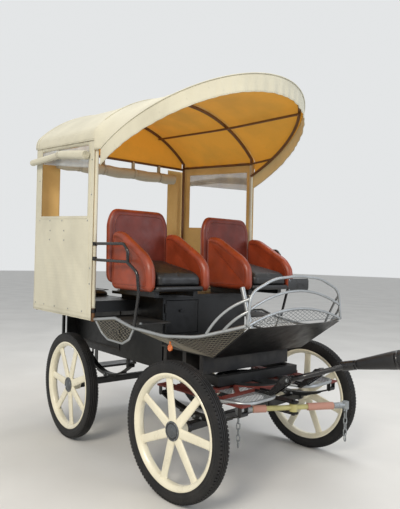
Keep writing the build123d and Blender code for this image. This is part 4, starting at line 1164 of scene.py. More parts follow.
def make_hood_tubes():
    """The hood's tubes: four posts, two hoops, the leaning hoop, rails, braces, and the front posts' clamps."""
    shape = Shape()
    clamps = Shape()
    turn = asin(post_y / hood_radius)
    for x, crown in ((post_rear_x, rear_crown), (post_front_x, front_crown)):
        heights = spread(post_foot, hoop_height(crown, post_y, 0) - 0.03, 24)
        right, left = ([Vector((x, side * post_y, z)) for z in heights] for side in (-1, 1))
        arc = [on_hoop(x, crown, t) for t in spread(-turn, turn, 60)]
        shape.tube(right + arc + left[::-1], hoop_tube, 14)
    legs = [on_visor(-visor_radius, visor_leg * k / 3) for k in range(3)]
    front = [
        on_visor(-visor_radius * cos(t), visor_leg + visor_depth * sin(t))
        for t in spread(0, pi, 90)]
    shape.tube(legs + front + [Vector((p.x, -p.y, p.z)) for p in reversed(legs)], cross_tube, 14)
    rear_eave, front_eave = eave_at(post_rear_x), eave_at(post_front_x)
    for side in (-1, 1):
        start, middle = (
            Vector((x, side * rail_y, hoop_height(crown_at(x), rail_y, 0) - 0.0265))
            for x in (post_rear_x, post_front_x))
        reach = visor_leg + visor_depth * sqrt(1 - (0.440 / visor_radius) ** 2)
        end = on_visor(side * 0.440, reach - 0.010, 0.0222)
        shape.tube(bent((start, middle, end), 0.3, 0.03), long_tube, 10)
        y = side * post_y
        shape.tube([(post_rear_x, y, rear_eave - 0.045), (post_front_x, y, front_eave - 0.045)], cross_tube, 10)
        height = front_eave - 0.050
        along = (height - visor_foot) / sin(visor_lean)
        reach_y = visor_radius * sqrt(1 - ((along - visor_leg) / visor_depth) ** 2)
        brace = (post_front_x, side * 0.788, height), on_visor(side * (reach_y - 0.004), along)
        shape.tube(brace, brace_tube, 10)
        for z in clamp_heights:
            clamps.lathe(
                [(0.0172, -0.014), (0.0205, -0.013), (0.0205, 0.013), (0.0172, 0.014)],
                Vector((post_front_x, y, z)), (0, 0, 1), 20, loop=True)
    cross_z = rear_eave - 0.060
    shape.tube([(post_rear_x, -post_y, cross_z), (post_rear_x, post_y, cross_z)], cross_tube, 10)
    tubes = shape.piece("hood_tubes", ["hood_tube"], "hood_tube_dark")
    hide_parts("canopy_frame", "canopy_hoops")
    clamps.piece("post_clamps", ["gloss_black"], "black_steel", angle=40)


def make_roof_trim():
    """Piping over the front hoop, the stitched eave seams and the end hem at the rear."""
    shape = Shape()

    def piping(line, axis_z, lift, radius, sides):
        lifted = [p + (p - Vector((p.x, 0, axis_z))).normalized() * lift for p in line]
        shape.tube(lifted, radius, sides)

    piping([hoop_rim_point(s) for s in spread(0.1, 0.9, 120)], front_crown - hood_radius, 0.002, 0.0045, 8)
    for x in (post_rear_x - 0.041, post_rear_x + 0.012):
        piping([roof_section(x, s) for s in spread(0, 1, 120)], crown_at(x) - hood_radius, 0.0012, 0.0028, 6)
    for side in (-1, 1):
        half = side * (cloth_half + 0.0045)
        run = spread(post_rear_x - 0.04, post_front_x + 0.012, 40)
        shape.tube([(x, half, eave_at(x) - eave_drop + 0.002) for x in run], 0.0034, 6)
    shape.cloth("roof_piping", "canvas")


def make_gable():
    """The rear gable cloth between the rear hoop and the cross tube, hanging in soft upright folds."""
    low = eave_at(post_rear_x) - 0.062

    def surface(across, up):
        y = across * (post_y - 0.012)
        top = hoop_height(rear_crown, y, 0) - 0.004
        z = low + (top - low) * up
        fold = 0.004 * sin(across * 26) * (1 - up) + 0.004 * ripple((y, z, 0), 0.15, 5)
        return Vector((post_rear_x - 0.019 + fold * 0.8, y, z))

    shape = Shape()
    area = shape.skin(spread(1, -1, 90), spread(0, 1, 16), surface, canvas_skin)
    # Inner face: amber with emission, painted glow of daylight through the cloth.
    piece = shape.cloth("canvas_gable", "canvas", "canvas_inside")


class WAGONETTE_OT_hood(bpy.types.Operator):
    """Builds the hood's tubes, roof, visor, hanging band, gable and piping"""

    bl_idname = "wagonette.hood"
    bl_label = "Canvas hood"

    def execute(self, context):
        make_hood_tubes()
        make_roof()
        make_visor()
        make_roof_trim()
        make_gable()
        return {"FINISHED"}


# Curtains
def curtain_lines(low, high, edges, step):
    """Cutting lines between low and high that fall on every edge, no further apart than step."""
    marks = sorted({low, high, *edges})
    lines = [marks[0]]
    for a, b in zip(marks, marks[1:]):
        count = max(1, ceil((b - a) / step))
        lines.extend(a + (b - a) * k / count for k in range(1, count + 1))
    return lines


def in_window(x, z, grow=0.0):
    """Whether a place on a side curtain is in its window."""
    return (
        window_rear - grow < x < window_front + grow and window_low - grow < z < window_high + grow
    )


curtain_top = 2.45


def curtain_point(side, x, z, lift=0.0):
    """A point on the outer face of a side curtain, with its soft upright waves."""
    fall = (front_crown - rear_crown) / (post_front_x - post_rear_x)
    tilt = fall * (x - (post_rear_x + post_front_x) / 2)
    if z <= window_high:
        z += tilt * (z - hem_height) / (window_high - hem_height)
    else:
        base = window_high + tilt
        top = eave_at(x) - 0.020
        z = base + (top - base) * (z - window_high) / (curtain_top - window_high)
    slack = min(1.0, max(0.0, (x - post_rear_x) / 0.2), max(0.0, (post_front_x - x) / 0.15))
    wave = 0.0025 * ripple((x * 1.6, 0, z * 0.5), 0.13, 2 if side < 0 else 3)
    wave += 0.0012 * sin(x * 21 + z * 1.7)
    loose = min(1.0, max(0.0, (window_low - z) / 0.2))
    folds = 0.010 * ripple((x, 0, z * 0.8), 0.3, 31) + 0.009 * ripple((x + 0.7 * z, 0, z * 0.25), 0.1, 32)
    wave += loose * (0.004 + folds)
    return Vector((x, side * (cloth_half - 0.0022 + (wave - 0.0012) * slack + lift), z))


def make_side_curtain(side, word):
    """A side curtain with its window, and the piping of its window, hem and edges."""
    rear, front = post_rear_x - 0.029, post_front_x + 0.012
    columns = curtain_lines(rear, front, (window_rear, window_front), 0.022)
    rows = curtain_lines(hem_height, curtain_top, (window_low, window_high), 0.03)
    shape = Shape()
    across = columns if side < 0 else columns[::-1]
    area = shape.skin(
        across, rows, lambda x, z: curtain_point(side, x, z), canvas_skin,
        keep=lambda x, z: not in_window(x, z))
    # The inner face gets a lighter tan with a faint emission: painted glow of daylight through the cloth.
    piece = shape.cloth(f"side_curtain_{word}", "canvas", "canvas_lining")
    tall = eave_at(post_rear_x) - hem_height
    trim = Shape()
    around_window = rectangle(
        window_rear - 0.02, window_low - 0.02, window_front + 0.02, window_high + 0.02)
    border = rounded(around_window, 0.03, 0.03)
    trim.tube([curtain_point(side, p.x, p.y, 0.0010) for p in border], 0.0026, 6, closed=True)
    for z, thick in ((hem_height + 0.003, 0.0034), (hem_height + 0.045, 0.0018)):
        trim.tube([curtain_point(side, x, z, 0.0008) for x in columns], thick, 6)
    for x in (rear + 0.004, front - 0.004, post_front_x - 0.045):
        trim.tube([curtain_point(side, x, z, 0.0008) for z in spread(hem_height, curtain_top, 50)], 0.0024, 6)
    trim.cloth(f"curtain_piping_{word}", "canvas")


def curtain_studs(sizes):
    """Nickel studs along the sill, in pairs below it, just above the hem and down the wrapped post."""
    spots = []
    for side in (-1, 1):
        places = [(x, 1.788) for x in (-2.28, -2.06, -1.81, -1.36)]
        places += [(x, z) for x in (-2.04, -1.77) for z in (1.705, 1.628)]
        places += [(x, 1.078) for x in (-2.33, -2.13, -1.91, -1.66, -1.42)]
        places += [(post_front_x - 0.020, z) for z in (1.30, 1.42, 1.99, 2.26)]
        places += [(-2.30, 2.13)]
        spots += [(curtain_point(side, x, z, 0.0004), (0, side, 0), (1, 0, 0)) for x, z in places]
    repeats("curtain_studs", spots, stud_shape(sizes.stud_radius), "stud", "chassis")


def make_clear_strip(side, word):
    """The strip of clear vinyl across the top of the window, gently buckled."""

    def surface(x, z):
        buckle = 0.003 * sin(x * 17) * (window_high - z) / 0.1 + 0.002 * ripple((x, 0, z), 0.1, 21)
        slant = (x - window_rear) / (window_front - window_rear)
        z = window_high - (window_high - z) * (0.62 + 0.45 * slant)
        place = curtain_point(side, x, z)
        place.y = side * (cloth_half - 0.0045 + min(0.003, buckle))
        return place

    shape = Shape()
    across = spread(window_rear + 0.001, window_front - 0.001, 50)
    shape.skin(across if side < 0 else across[::-1], spread(window_high - 0.165, window_high - 0.001, 8),
               surface, 0.0008, inner=0)
    shape.cloth(f"clear_strip_{word}", "clear")


def spiral(centre, axis, start, turns, outer, inner):
    """Points of a flat spiral about an axis, from the outside in."""
    side = Vector(start).normalized()
    other = Vector(axis).cross(side)
    points = []
    count = int(turns * 20)
    for k in range(count + 1):
        t = 2 * pi * turns * k / count
        r = outer + (inner - outer) * k / count
        points.append(centre + (side * cos(t) + other * sin(t)) * r)
    return points


def make_roll(name, start, end, radius, straps, node_name, droop, knee=None):
    """A rolled-up cloth: a lumpy roll that sags between its straps, spiral ends and the straps round it."""
    start, end = Vector(start), Vector(end)
    line = (end - start).normalized()
    down = Vector((0, 0, -1))
    side = line.cross(down).normalized()

    def middle(share):
        nearest = min(abs(share - s) for s in (*straps, 0.0, 1.0))
        rise = knee[1] * min(share / knee[0], (1 - share) / (1 - knee[0])) if knee else 0
        return start.lerp(end, share) + down * (droop * min(1.0, nearest * 5) - rise)

    def girth(share):
        if not knee:
            return radius
        return radius * (0.78 if share < knee[0] else 1.0)

    rows = []
    for share in spread(0, 1, 90):
        squeeze = 1 - 0.16 * exp(-((min(abs(share - s) for s in straps) / 0.02) ** 2))
        row = []
        for k, out in enumerate(circle(side, down, 28)):
            lump = 0.92 + 0.06 * ripple(middle(share) + out * radius, 0.10, 31)
            lump += 0.02 * sin(6 * pi * k / 28 + share * 9)
            row.append(middle(share) + out * girth(share) * lump * squeeze)
        rows.append(row)
    shape = Shape()
    shape.loft(rows)
    for share, outwards in ((0.0, -1), (1.0, 1)):
        centre = middle(share) + line * outwards * 0.0006
        shape.tube(spiral(centre, line, side, 3.4, girth(share) * 0.84, girth(share) * 0.12), 0.0028, 6)
    roll = shape.cloth(name, "canvas")
    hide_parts(node_name)
    band = Shape()
    for share in straps:
        rows = []
        for offset, lift in ((-0.013, 0.0), (-0.013, 0.002), (0.013, 0.002), (0.013, 0.0)):
            reach = girth(share + 0.01) * 0.87 + lift
            rows.append([middle(share) + line * offset + out * reach for out in circle(side, down, 28)])
        band.grid(rows, ring=True, loop=True)
    band.cloth(name + "_straps", "strap")


rear_straps = (0.16, 0.36, 0.62, 0.86)
rear_roll_half = 0.660


def make_rear_roll():
    """The rolled rear cover under the rear cross tube, and the straps that it hangs by."""
    cross_z = eave_at(post_rear_x) - 0.060
    roll_x, roll_z = post_rear_x + 0.020, cross_z - 0.126
    make_roll(
        "rear_cover_roll", (roll_x, -rear_roll_half, roll_z), (roll_x, rear_roll_half, roll_z), 0.057,
        rear_straps, "rear_roll", 0.016)
    hangers = Shape()
    for share in rear_straps:
        low_y, high_y = (2 * rear_roll_half * (share - 0.5) + half for half in (-0.012, 0.012))
        for x in (post_rear_x - 0.014, post_rear_x + 0.014):
            hangers.grid([
                [(near, low_y, z), (near, high_y, z), (near + 0.0012, high_y, z), (near + 0.0012, low_y, z)]
                for near, z in ((x, cross_z), (x + 0.0024, roll_z + 0.02))], ring=True)
    hangers.cloth("rear_roll_hangers", "strap")


def make_rear_strips():
    """The cloth strips beside the rear doorway."""
    for side, word in sides:
        low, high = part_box("rear_curtain")
        inner, outer = (0.600, high.y - 0.012) if side < 0 else (0.640, high.y + 0.008)

        def surface(y, z):
            fold = 0.002 * sin(y * 60) + 0.0015 * ripple((y, 0, z), 0.2, 14)
            return Vector((low.x + 0.003 - abs(fold) * 0.5 + 0.001, side * y, z))

        shape = Shape()
        across = spread(inner, outer, 18)
        area = shape.skin(across if side < 0 else across[::-1], spread(low.z, high.z, 40), surface, canvas_skin)
        # The inner face gets a lighter tan with a faint emission: painted glow of daylight through the cloth.
        piece = shape.cloth(f"rear_strip_{word}", "canvas", "canvas_lining")
        if side > 0:
            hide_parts("rear_curtain")


def make_wrapped_posts():
    """Canvas sleeves round the two front posts."""
    for side, word in sides:
        shape = Shape()
        rows = []
        for z in spread(1.110, eave_at(post_front_x) - 0.045, 60):
            row = []
            for out in circle(Vector((1, 0, 0)), Vector((0, 1, 0)), 24):
                girth = 0.0158 + 0.0007 * ripple((out.x * 0.02, out.y * 0.02, z), 0.06, 17)
                row.append(Vector((post_front_x, side * post_y, z)) + out * girth)
            rows.append(row)
        shape.loft(rows)
        shape.cloth(f"post_wrap_{word}", "canvas")


class WAGONETTE_OT_curtains(bpy.types.Operator):
    """Builds the side curtains, rear strips, rolled covers, wrapped posts and their studs"""

    bl_idname = "wagonette.curtains"
    bl_label = "Curtains"

    def execute(self, context):
        sizes = context.scene.wagonette_sizes
        for side, word in sides:
            make_side_curtain(side, word)
            make_clear_strip(side, word)
            y = side * (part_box("window_rolls")[1].y - 0.036)
            make_roll(
                f"window_roll_{word}", (-2.384, y, 2.334), (-1.340, y, 2.256), 0.038, (0.56,), "window_rolls",
                0.0, (0.56, 0.032))
        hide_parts("side_curtains")
        make_rear_roll()
        make_rear_strips()
        make_wrapped_posts()
        curtain_studs(sizes)
        return {"FINISHED"}


# Seats and cushions
def roll_rings(radius, panel, steps=7):
    """Insets and heights of a rolled edge of that radius that sinks to a flatter panel."""
    rings = []
    for k in range(1, steps + 1):
        t = pi / 2 * k / steps
        rings.append((radius * (1 - cos(t)), radius * sin(t)))
    rings.append((radius * 1.12, (radius + panel) / 2))
    rings.append((radius * 1.30, panel))
    return rings


def make_piping(name, rings, lift, radius):
    """Piping on both faces of a padded slab, where its rolled edge meets the panel."""
    piping = Shape()
    for rows, side in zip(rings, (1, -1)):
        piping.tube([p + lift * side for p in rows[-2]], radius, 6, closed=True)
    piping.piece(name + "_piping", ["piping"], "leather_red")


def make_arm(name, y):
    """One padded arm: a rolled edge along the top and front, flat leather between, piping where they meet."""
    outline = rounded([Vector((front_x + x, z)) for x, z in arm_profile], 0.05, 0.014)

    def place(x, z, height):
        lean = 0.0025 * ripple((x * 2.2, y, z * 0.6), 0.05, 6)
        return Vector((x, y + height + (lean if abs(height) > 0.001 else 0), z))

    shape = Shape()
    rings = shape.pillow(outline, place, roll_rings(arm_half, arm_half * 0.93))
    shape.piece(name, ["leather"], "leather_red")
    make_piping(name, rings, Vector((0, 0.0006, 0)), 0.0026)


def make_back(name, centre_y):
    """The padded back: rolled round its edge, leaning back a little; its forward-facing faces get darker leather
    as painted shade.
    """
    half = seat_half - 0.002
    bottom, top = 1.300, 1.865
    right = [(-half, bottom), (-half, top - 0.10), (-half + 0.045, top)]
    outline = rounded(right[:1] + [(-y, z) for y, z in right] + right[:0:-1], 0.07, 0.015)
    middle_x = post_front_x + 0.040

    def place(y, z, height):
        recline = -(z - bottom) * 0.03 + 0.012
        wave = 0.002 * ripple((y, 0, z), 0.09, 9)
        bow = 0.010 * (1 - (y / half) ** 2)
        return Vector((middle_x + recline + height - bow * (1 if height > 0 else 0.2) + wave, centre_y + y, z))

    shape = Shape()
    rings = shape.pillow(outline, place, roll_rings(0.038, 0.035))
    # Faces that look forwards get the second finish, darker leather: painted shade under the hood.
    for index, face in enumerate(shape.faces):
        a, b, c = (Vector(shape.corners[i]) for i in face[:3])
        if (b - a).cross(c - a).normalized().x > 0.72:
            shape.finish_of[index] = 1
    shape.piece(name, ["leather", "leather_dark"], "leather_red")
    make_piping(name, rings, Vector((0.0008, 0, 0)), 0.0028)


def cushion_form(low, high, crown, slope):
    """A closed cushion with rounded corners and edges, a flat underside and a crowned top that may slope."""
    outline = rounded(rectangle(low.x, low.y, high.x, high.y), 0.05, 0.02)
    centre = Vector(((low.x + high.x) / 2, (low.y + high.y) / 2))
    size = min(high.x - low.x, high.y - low.y) / 2
    small, large = 0.012, min(0.030, (high.z - low.z) * 0.4)
    # inset, height, and the share of the height that belongs to the top
    levels = [(size * 0.75, 0.0, 0.0)]
    for k in range(5):
        t = pi / 2 * k / 4
        levels.append((small * (1 - sin(t)), small * (1 - cos(t)), 0.0))
    for k in range(6):
        t = pi / 2 * k / 5
        levels.append((large * (1 - cos(t)), large * (sin(t) - 1), 1.0))
    for share in (0.15, 0.30, 0.48, 0.66, 0.84):
        levels.append((large + (size - large) * share, crown * sin(share * pi / 2), 1.0))
    rows = []
    for inset, height, top in levels:
        row = []
        for spot in outline:
            flat = centre + (spot - centre) * (1 - inset / size)
            roof = high.z - crown - slope * (flat.x - centre.x)
            row.append(Vector((flat.x, flat.y, height + low.z + (roof - low.z) * top)))
        rows.append(row)
    shape = Shape()
    shape.loft(rows)
    return shape


swell_frames = 20


def inflate(piece, voxel, pressure, cap):
    """Swells a closed piece with the cloth simulation, and keeps every point within a cap of where it was."""
    scene = bpy.context.scene
    remesh = piece.modifiers.new("remesh", "REMESH")
    remesh.mode = "VOXEL"
    remesh.voxel_size = voxel
    mesh = evaluated_mesh(piece)
    piece.modifiers.clear()
    piece.data = mesh
    rest = [v.co.copy() for v in mesh.vertices]
    cloth = piece.modifiers.new("cloth", "CLOTH")
    settings = cloth.settings
    settings.use_pressure = True
    settings.uniform_pressure_force = pressure
    settings.effector_weights.gravity = 0
    settings.quality = 4
    settings.tension_stiffness = settings.compression_stiffness = 12
    settings.bending_stiffness = 2
    for number in range(1, swell_frames + 1):
        scene.frame_set(number)
    swollen = evaluated_mesh(piece)
    piece.modifiers.clear()
    scene.frame_set(1)
    for vertex, start in zip(swollen.vertices, rest):
        move = vertex.co - start
        if move.length > cap:
            vertex.co = start + move.normalized() * cap
    piece.data = swollen
    for face in swollen.polygons:
        face.use_smooth = True
    smooth = piece.modifiers.new("smooth", "SUBSURF")
    smooth.levels = 1
    smooth.render_levels = 1


def make_cushion(name, low, high, crown, cap, sizes, voxel, seam=True, slope=0.0):
    """A stuffed cushion: shaped, swelled and given its piping."""
    inset = Vector((cap * 0.6, cap * 0.6, 0))
    shape = cushion_form(low + inset, high - inset - Vector((0, 0, cap * 0.5)), crown, slope)
    piece = shape.piece(name, ["vinyl"], "cushion_black", None)
    inflate(piece, voxel, sizes.cushion_pressure, cap)
    for vertex in piece.data.vertices:
        vertex.co.z = max(low.z, vertex.co.z)
    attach(piece, "chassis")
    if seam:
        line = rounded(rectangle(low.x, low.y, high.x, high.y), 0.05, 0.02)
        trim = Shape()
        middle = (low.z + high.z) / 2
        for share in (-0.42, 0.40):
            edge = [Vector((p.x, p.y, middle + (high.z - low.z) * share)) for p in shrunk(line, 0.008)]
            trim.tube(edge, 0.003, 6, closed=True)
        trim.piece(name + "_piping", ["vinyl"], "cushion_black")
    return piece


def make_seat(side, word):
    """An armchair seat: two arms, the back and the black tray that the cushion lies on."""
    centre = side * seat_centre
    for edge, place in sides:
        make_arm(f"seat_{word}_arm_{place}", centre + edge * (seat_half - arm_half))
    make_back(f"seat_{word}_back", centre)
    shape = Shape()
    half = seat_half - 2 * arm_half + 0.004
    low_x, high_x = post_front_x + 0.07, front_x - 0.226
    outline = rounded(rectangle(low_x, -half, high_x, half), 0.02, 0.03)
    rings = [(0.002, 0.014), (0.006, 0.018), (0.05, 0.018)]
    shape.pillow(outline, lambda x, y, h: Vector((x, centre + y, tray_height + h)), rings)
    shell = shape.piece(f"seat_{word}_tray", ["vinyl"], "leather_red")
    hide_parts(f"seat_shell_{word}")


class WAGONETTE_OT_seats(bpy.types.Operator):
    """Builds the two leather seats with their cushions, and the rear benches with theirs"""

    bl_idname = "wagonette.seats"
    bl_label = "Seats and cushions"

    def execute(self, context):
        sizes = context.scene.wagonette_sizes
        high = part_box("seat_cushions")[1]
        half = seat_half - 2 * arm_half - 0.002
        for side, word in sides:
            make_seat(side, word)
            cushion_low = Vector((post_front_x + 0.094, side * seat_centre - half, cushion_floor))
            cushion_high = Vector((high.x, side * seat_centre + half, high.z + 0.016))
            made = make_cushion(
                f"seat_cushion_{word}", cushion_low, cushion_high, 0.020, 0.012, sizes, 0.007, False, 0.19)
        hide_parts("seat_cushions")
        low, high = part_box("bench_cushions")
        for side, word in sides:
            inner, outer = side * 0.436, side * (high.y - 0.001)
            bench_low = Vector((post_rear_x + 0.03, min(inner, outer), low.z + 0.001))
            bench_high = Vector((high.x, max(inner, outer), high.z))
            made = make_cushion(f"bench_cushion_{word}", bench_low, bench_high, 0.012, 0.010, sizes, 0.009)
        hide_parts("bench_cushions")
        make_benches()
        return {"FINISHED"}


def make_benches():
    """The bodywork of the rear: bench tops with their inner and front walls, the rear wall and its stays."""
    rear, front = post_rear_x + 0.005, front_x - 1.120
    nose = post_front_x + 0.020
    wall = rear - 0.007
    shape = Shape()
    for side in (-1, 1):
        # start, end, width, height
        for start, end, width, height in (
            ((rear, 0.6010, 1.1225), (front, 0.6010, 1.1225), 0.3895, 0.085),
            ((front - 0.002, 0.6240, 1.1225), (nose, 0.6240, 1.1225), 0.3435, 0.085),
            ((rear, 0.4130, 0.9525), (front, 0.4130, 0.9525), 0.014, 0.425),
            ((wall, 0.2360, 0.9425), (wall, 0.5200, 0.9425), 0.014, 0.445),
            ((wall, 0.5190, 1.1225), (wall, 0.7955, 1.1225), 0.014, 0.085),
            ((wall + 0.006, 0.3900, 0.7075), (wall + 0.006, 0.5500, 0.7075), 0.025, 0.025),
        ):
            ends = [Vector((x, side * y, z)) for x, y, z in (start, end)]
            add_bar(shape, ends[0], ends[1], width, height, bevel=0.0025)
        foot = Vector((wall + 0.006, side * 0.5555, 0.695))
        add_bar(shape, foot, foot + Vector((0, 0, 0.390)), 0.025, 0.025, up=(1, 0, 0))
    add_bar(shape, (wall, -0.240, 0.735), (wall, 0.240, 0.735), 0.014, 0.030)
    benches = shape.piece("rear_bodywork", ["steel"], "cream_paint", angle=40)
    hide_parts("rear_benches")


# Expanded metal
def clipped(point, line, polygon):
    """The part of an endless line inside a convex outline, or None."""
    low, high = -1e9, 1e9
    turn = turn_of(polygon)
    for a, b in zip(polygon, polygon[1:] + polygon[:1]):
        inwards = Vector((-(b - a).y, (b - a).x)) * turn
        along = line.dot(inwards)
        off = (a - point).dot(inwards)
        if abs(along) < 1e-12:
            if off > 0:
                return None
        elif along > 0:
            low = max(low, off / along)
        else:
            high = min(high, off / along)
    if high - low < 0.002:
        return None
    return point + line * low, point + line * high


def lattice(corners, sizes, lift=0.0, along=None):
    """Strand segments of expanded metal over a flat convex outline, with its border."""
    corners = [Vector(c) for c in corners]
    origin = corners[0]
    first = (Vector(along) if along else corners[1] - corners[0]).normalized()
    normal = (corners[1] - corners[0]).cross(corners[2] - corners[0]).normalized()
    first = (first - normal * first.dot(normal)).normalized()
    second = normal.cross(first)
    flat = [Vector(((c - origin).dot(first), (c - origin).dot(second))) for c in corners]
    centre = sum(flat, Vector((0, 0))) / len(flat)
    reach = max((p - centre).length for p in flat)
    segments = []
    for sign in (-1, 1):
        line = Vector((sizes.mesh_long, sign * sizes.mesh_short)).normalized()
        across = Vector((-line.y, line.x))
        gap = sizes.mesh_long * sizes.mesh_short / hypot(sizes.mesh_long, sizes.mesh_short)
        count = int(reach / gap) + 1
        for k in range(-count, count + 1):
            cut = clipped(centre + across * gap * k, line, flat)
            if cut:
                segments.append([origin + first * p.x + second * p.y + normal * lift for p in cut])
    for a, b in zip(corners, corners[1:] + corners[:1]):
        segments.append([a + normal * lift, b + normal * lift])
    return segments


def make_side_meshes(sizes):
    """The flared expanded-metal panels between the side tubes and the footwell, and the pockets' infill."""
    foot = 0.4403
    corner = {
        "tube_rear": (-0.400, 0.721, 0.998), "tube_middle": (-0.100, 0.671, 0.978),
        "tube_front": (0.150, 0.601, 0.997), "dash_corner": (0.412, 0.446, 1.078),
        "floor_rear": (-0.220, foot, 0.858), "floor_front": (0.100, foot, 0.858),
    }
    panels = (
        ("tube_rear", "tube_middle", "floor_rear"), ("tube_middle", "floor_front", "floor_rear"),
        ("tube_middle", "tube_front", "floor_front"), ("tube_front", "dash_corner", "floor_front"),
    )
    segments = []
    for side in (-1, 1):
        for names in panels:
            corners = [Vector((front_x + x, side * y, z - 0.002)) for x, y, z in (corner[n] for n in names)]
            segments += lattice(corners, sizes, along=(1, 0, 0))
        pocket = [
            (-0.812, 0.795, 1.022), (-0.800, 0.757, 0.940), (-0.716, 0.753, 0.900), (-0.522, 0.749, 0.894),
            (-0.447, 0.743, 0.930), (-0.410, 0.735, 0.990), (-0.600, 0.752, 1.040)]
        rim = [Vector((front_x + x, side * y, z)) for x, y, z in pocket]
        middle = sum(rim, Vector()) / len(rim)
        for a, b in zip(rim, rim[1:] + rim[:1]):
            segments += lattice((a, b, middle), sizes, along=(1, 0, 0))[:-2]
    made = strands("side_mesh_panels", segments, sizes.mesh_strand, "dark_mesh", "chassis")
    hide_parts("side_meshes")


dash_x = front_x + 0.430
dash_tube = 0.009


def arc_through(start, middle, end, count=24):
    """Points of the curve from start to end that bulges through a middle point."""
    start, middle, end = Vector(start), Vector(middle), Vector(end)
    corner = middle * 2 - (start + end) / 2
    return [curve(start, corner, end, t) for t in spread(0, 1, count)]


def make_dash_rails():
    """The dash's silver rails: the outer frame, two arches across it and two stays down to each side tube."""
    shape = Shape()
    rise = [(0.459, 1.093), (0.437, 1.262), (0.402, 1.306), (0.230, 1.376)]
    corner = [(-y, z) for y, z in rise] + [(0.0, 1.394)] + rise[::-1]
    shape.tube(bent([(dash_x, y, z) for y, z in corner], 0.06, 0.018), dash_tube, 12)
    for half, low, high in ((0.459, 1.093, 1.181), (0.4457, 1.190, 1.297)):
        arch = arc_through((dash_x, -half, low), (dash_x, 0, high), (dash_x, half, low), 40)
        shape.tube(arch, dash_tube, 12)
    for side in (-1, 1):
        for top, foot, bulge in (
            ((0.430, 0.436, 1.256), (0.195, 0.587, 1.019), (0.307, 0.535, 1.168)),
            ((0.430, 0.447, 1.182), (0.290, 0.533, 1.050), (0.370, 0.504, 1.130)),
        ):
            a, m, b = (Vector((front_x + x, side * y, z)) for x, y, z in (top, bulge, foot))
            shape.tube(arc_through(a, m, b), dash_tube, 12)
    rails = shape.piece("dash_frame", ["silver"], "silver_paint")
    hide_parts("dash_rails")


def make_dash_mesh(sizes):
    """The expanded metal in the lowest arch of the dash, and the blank plate in the highest one."""
    half, bottom, rise = 0.430, 1.098, 0.074
    arch = [Vector((dash_x, y, bottom + rise * (1 - (y / half) ** 2))) for y in spread(half, -half, 16)]
    segments = lattice(arch, sizes, along=(0, 1, 0))
    strands("dash_mesh", segments, sizes.mesh_strand, "mesh", "chassis")
    shape = Shape()
    for outline, x, thin, thick in (
        (rounded(rectangle(-0.1, 1.300, 0.1, 1.377), 0.008, 0.01), dash_x, 0.0018, 0.002),
        (rounded(rectangle(-0.088, 1.308, 0.088, 1.369), 0.006, 0.01), dash_x + 0.002, 0.0006, 0.0008),
    ):
        shape.pillow(outline, lambda y, z, h: Vector((x + h, y, z)), [(0.001, thin), (0.003, thick)])
    plate = shape.piece("blank_dash_plate", ["plate"], "mesh_grey", angle=40)
    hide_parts("dash_sheets")
    spots = [((dash_x + 0.0022, y, z), (1, 0, 0), (0, 1, 0)) for y in (-0.094, 0.094) for z in (1.306, 1.371)]
    repeats("dash_plate_screws", spots, stud_shape(0.004), "stud", "chassis")


def make_steps(sizes):
    """The two D-shaped steps, silver rims round expanded metal, and the two decks behind them."""
    step_z, front, tube = 0.625, 0.2153, 0.011
    rim = Shape()
    segments = []
    for side in (-1, 1):
        middle = side * 0.340
        route = [(front, middle - 0.210, step_z), (front + 0.170, middle - 0.150, step_z),
                 (front + 0.170, middle + 0.150, step_z), (front, middle + 0.210, step_z)]
        rim.tube([steered(p) for p in bent(route, 0.11, 0.012)], tube, 12)
        deck = [(front, -0.206), (front + 0.120, -0.163), (front + 0.168, -0.084), (front + 0.168, 0.084),
                (front + 0.120, 0.163), (front, 0.206)]
        segments += lattice([steered((x, middle + y, step_z)) for x, y in deck], sizes, along=front_axle_line)
    for low, high in ((-0.375, -0.042), (0.042, 0.375)):
        deck = [(-0.199, low), (0.184, low), (0.184, high), (-0.199, high)]
        segments += lattice([steered((x, y, step_z)) for x, y in deck], sizes, along=front_axle_line)
    rims = rim.piece("step_rims", ["silver"], "silver_paint", "front_carriage")
    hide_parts("front_steps")
    strands("step_mesh", segments, sizes.mesh_strand * 1.15, "mesh", "front_carriage")


class WAGONETTE_OT_meshes(bpy.types.Operator):
    """Builds the expanded-metal panels, the steps and the dash with its rails"""

    bl_idname = "wagonette.meshes"
    bl_label = "Expanded metal"

    def execute(self, context):
        sizes = context.scene.wagonette_sizes
        make_side_meshes(sizes)
        make_dash_rails()
        make_dash_mesh(sizes)
        make_steps(sizes)
        return {"FINISHED"}


# Pole, evener and chains
stitch_count = 90
stitch_start = 0.36
stitch_pitch = 0.0122


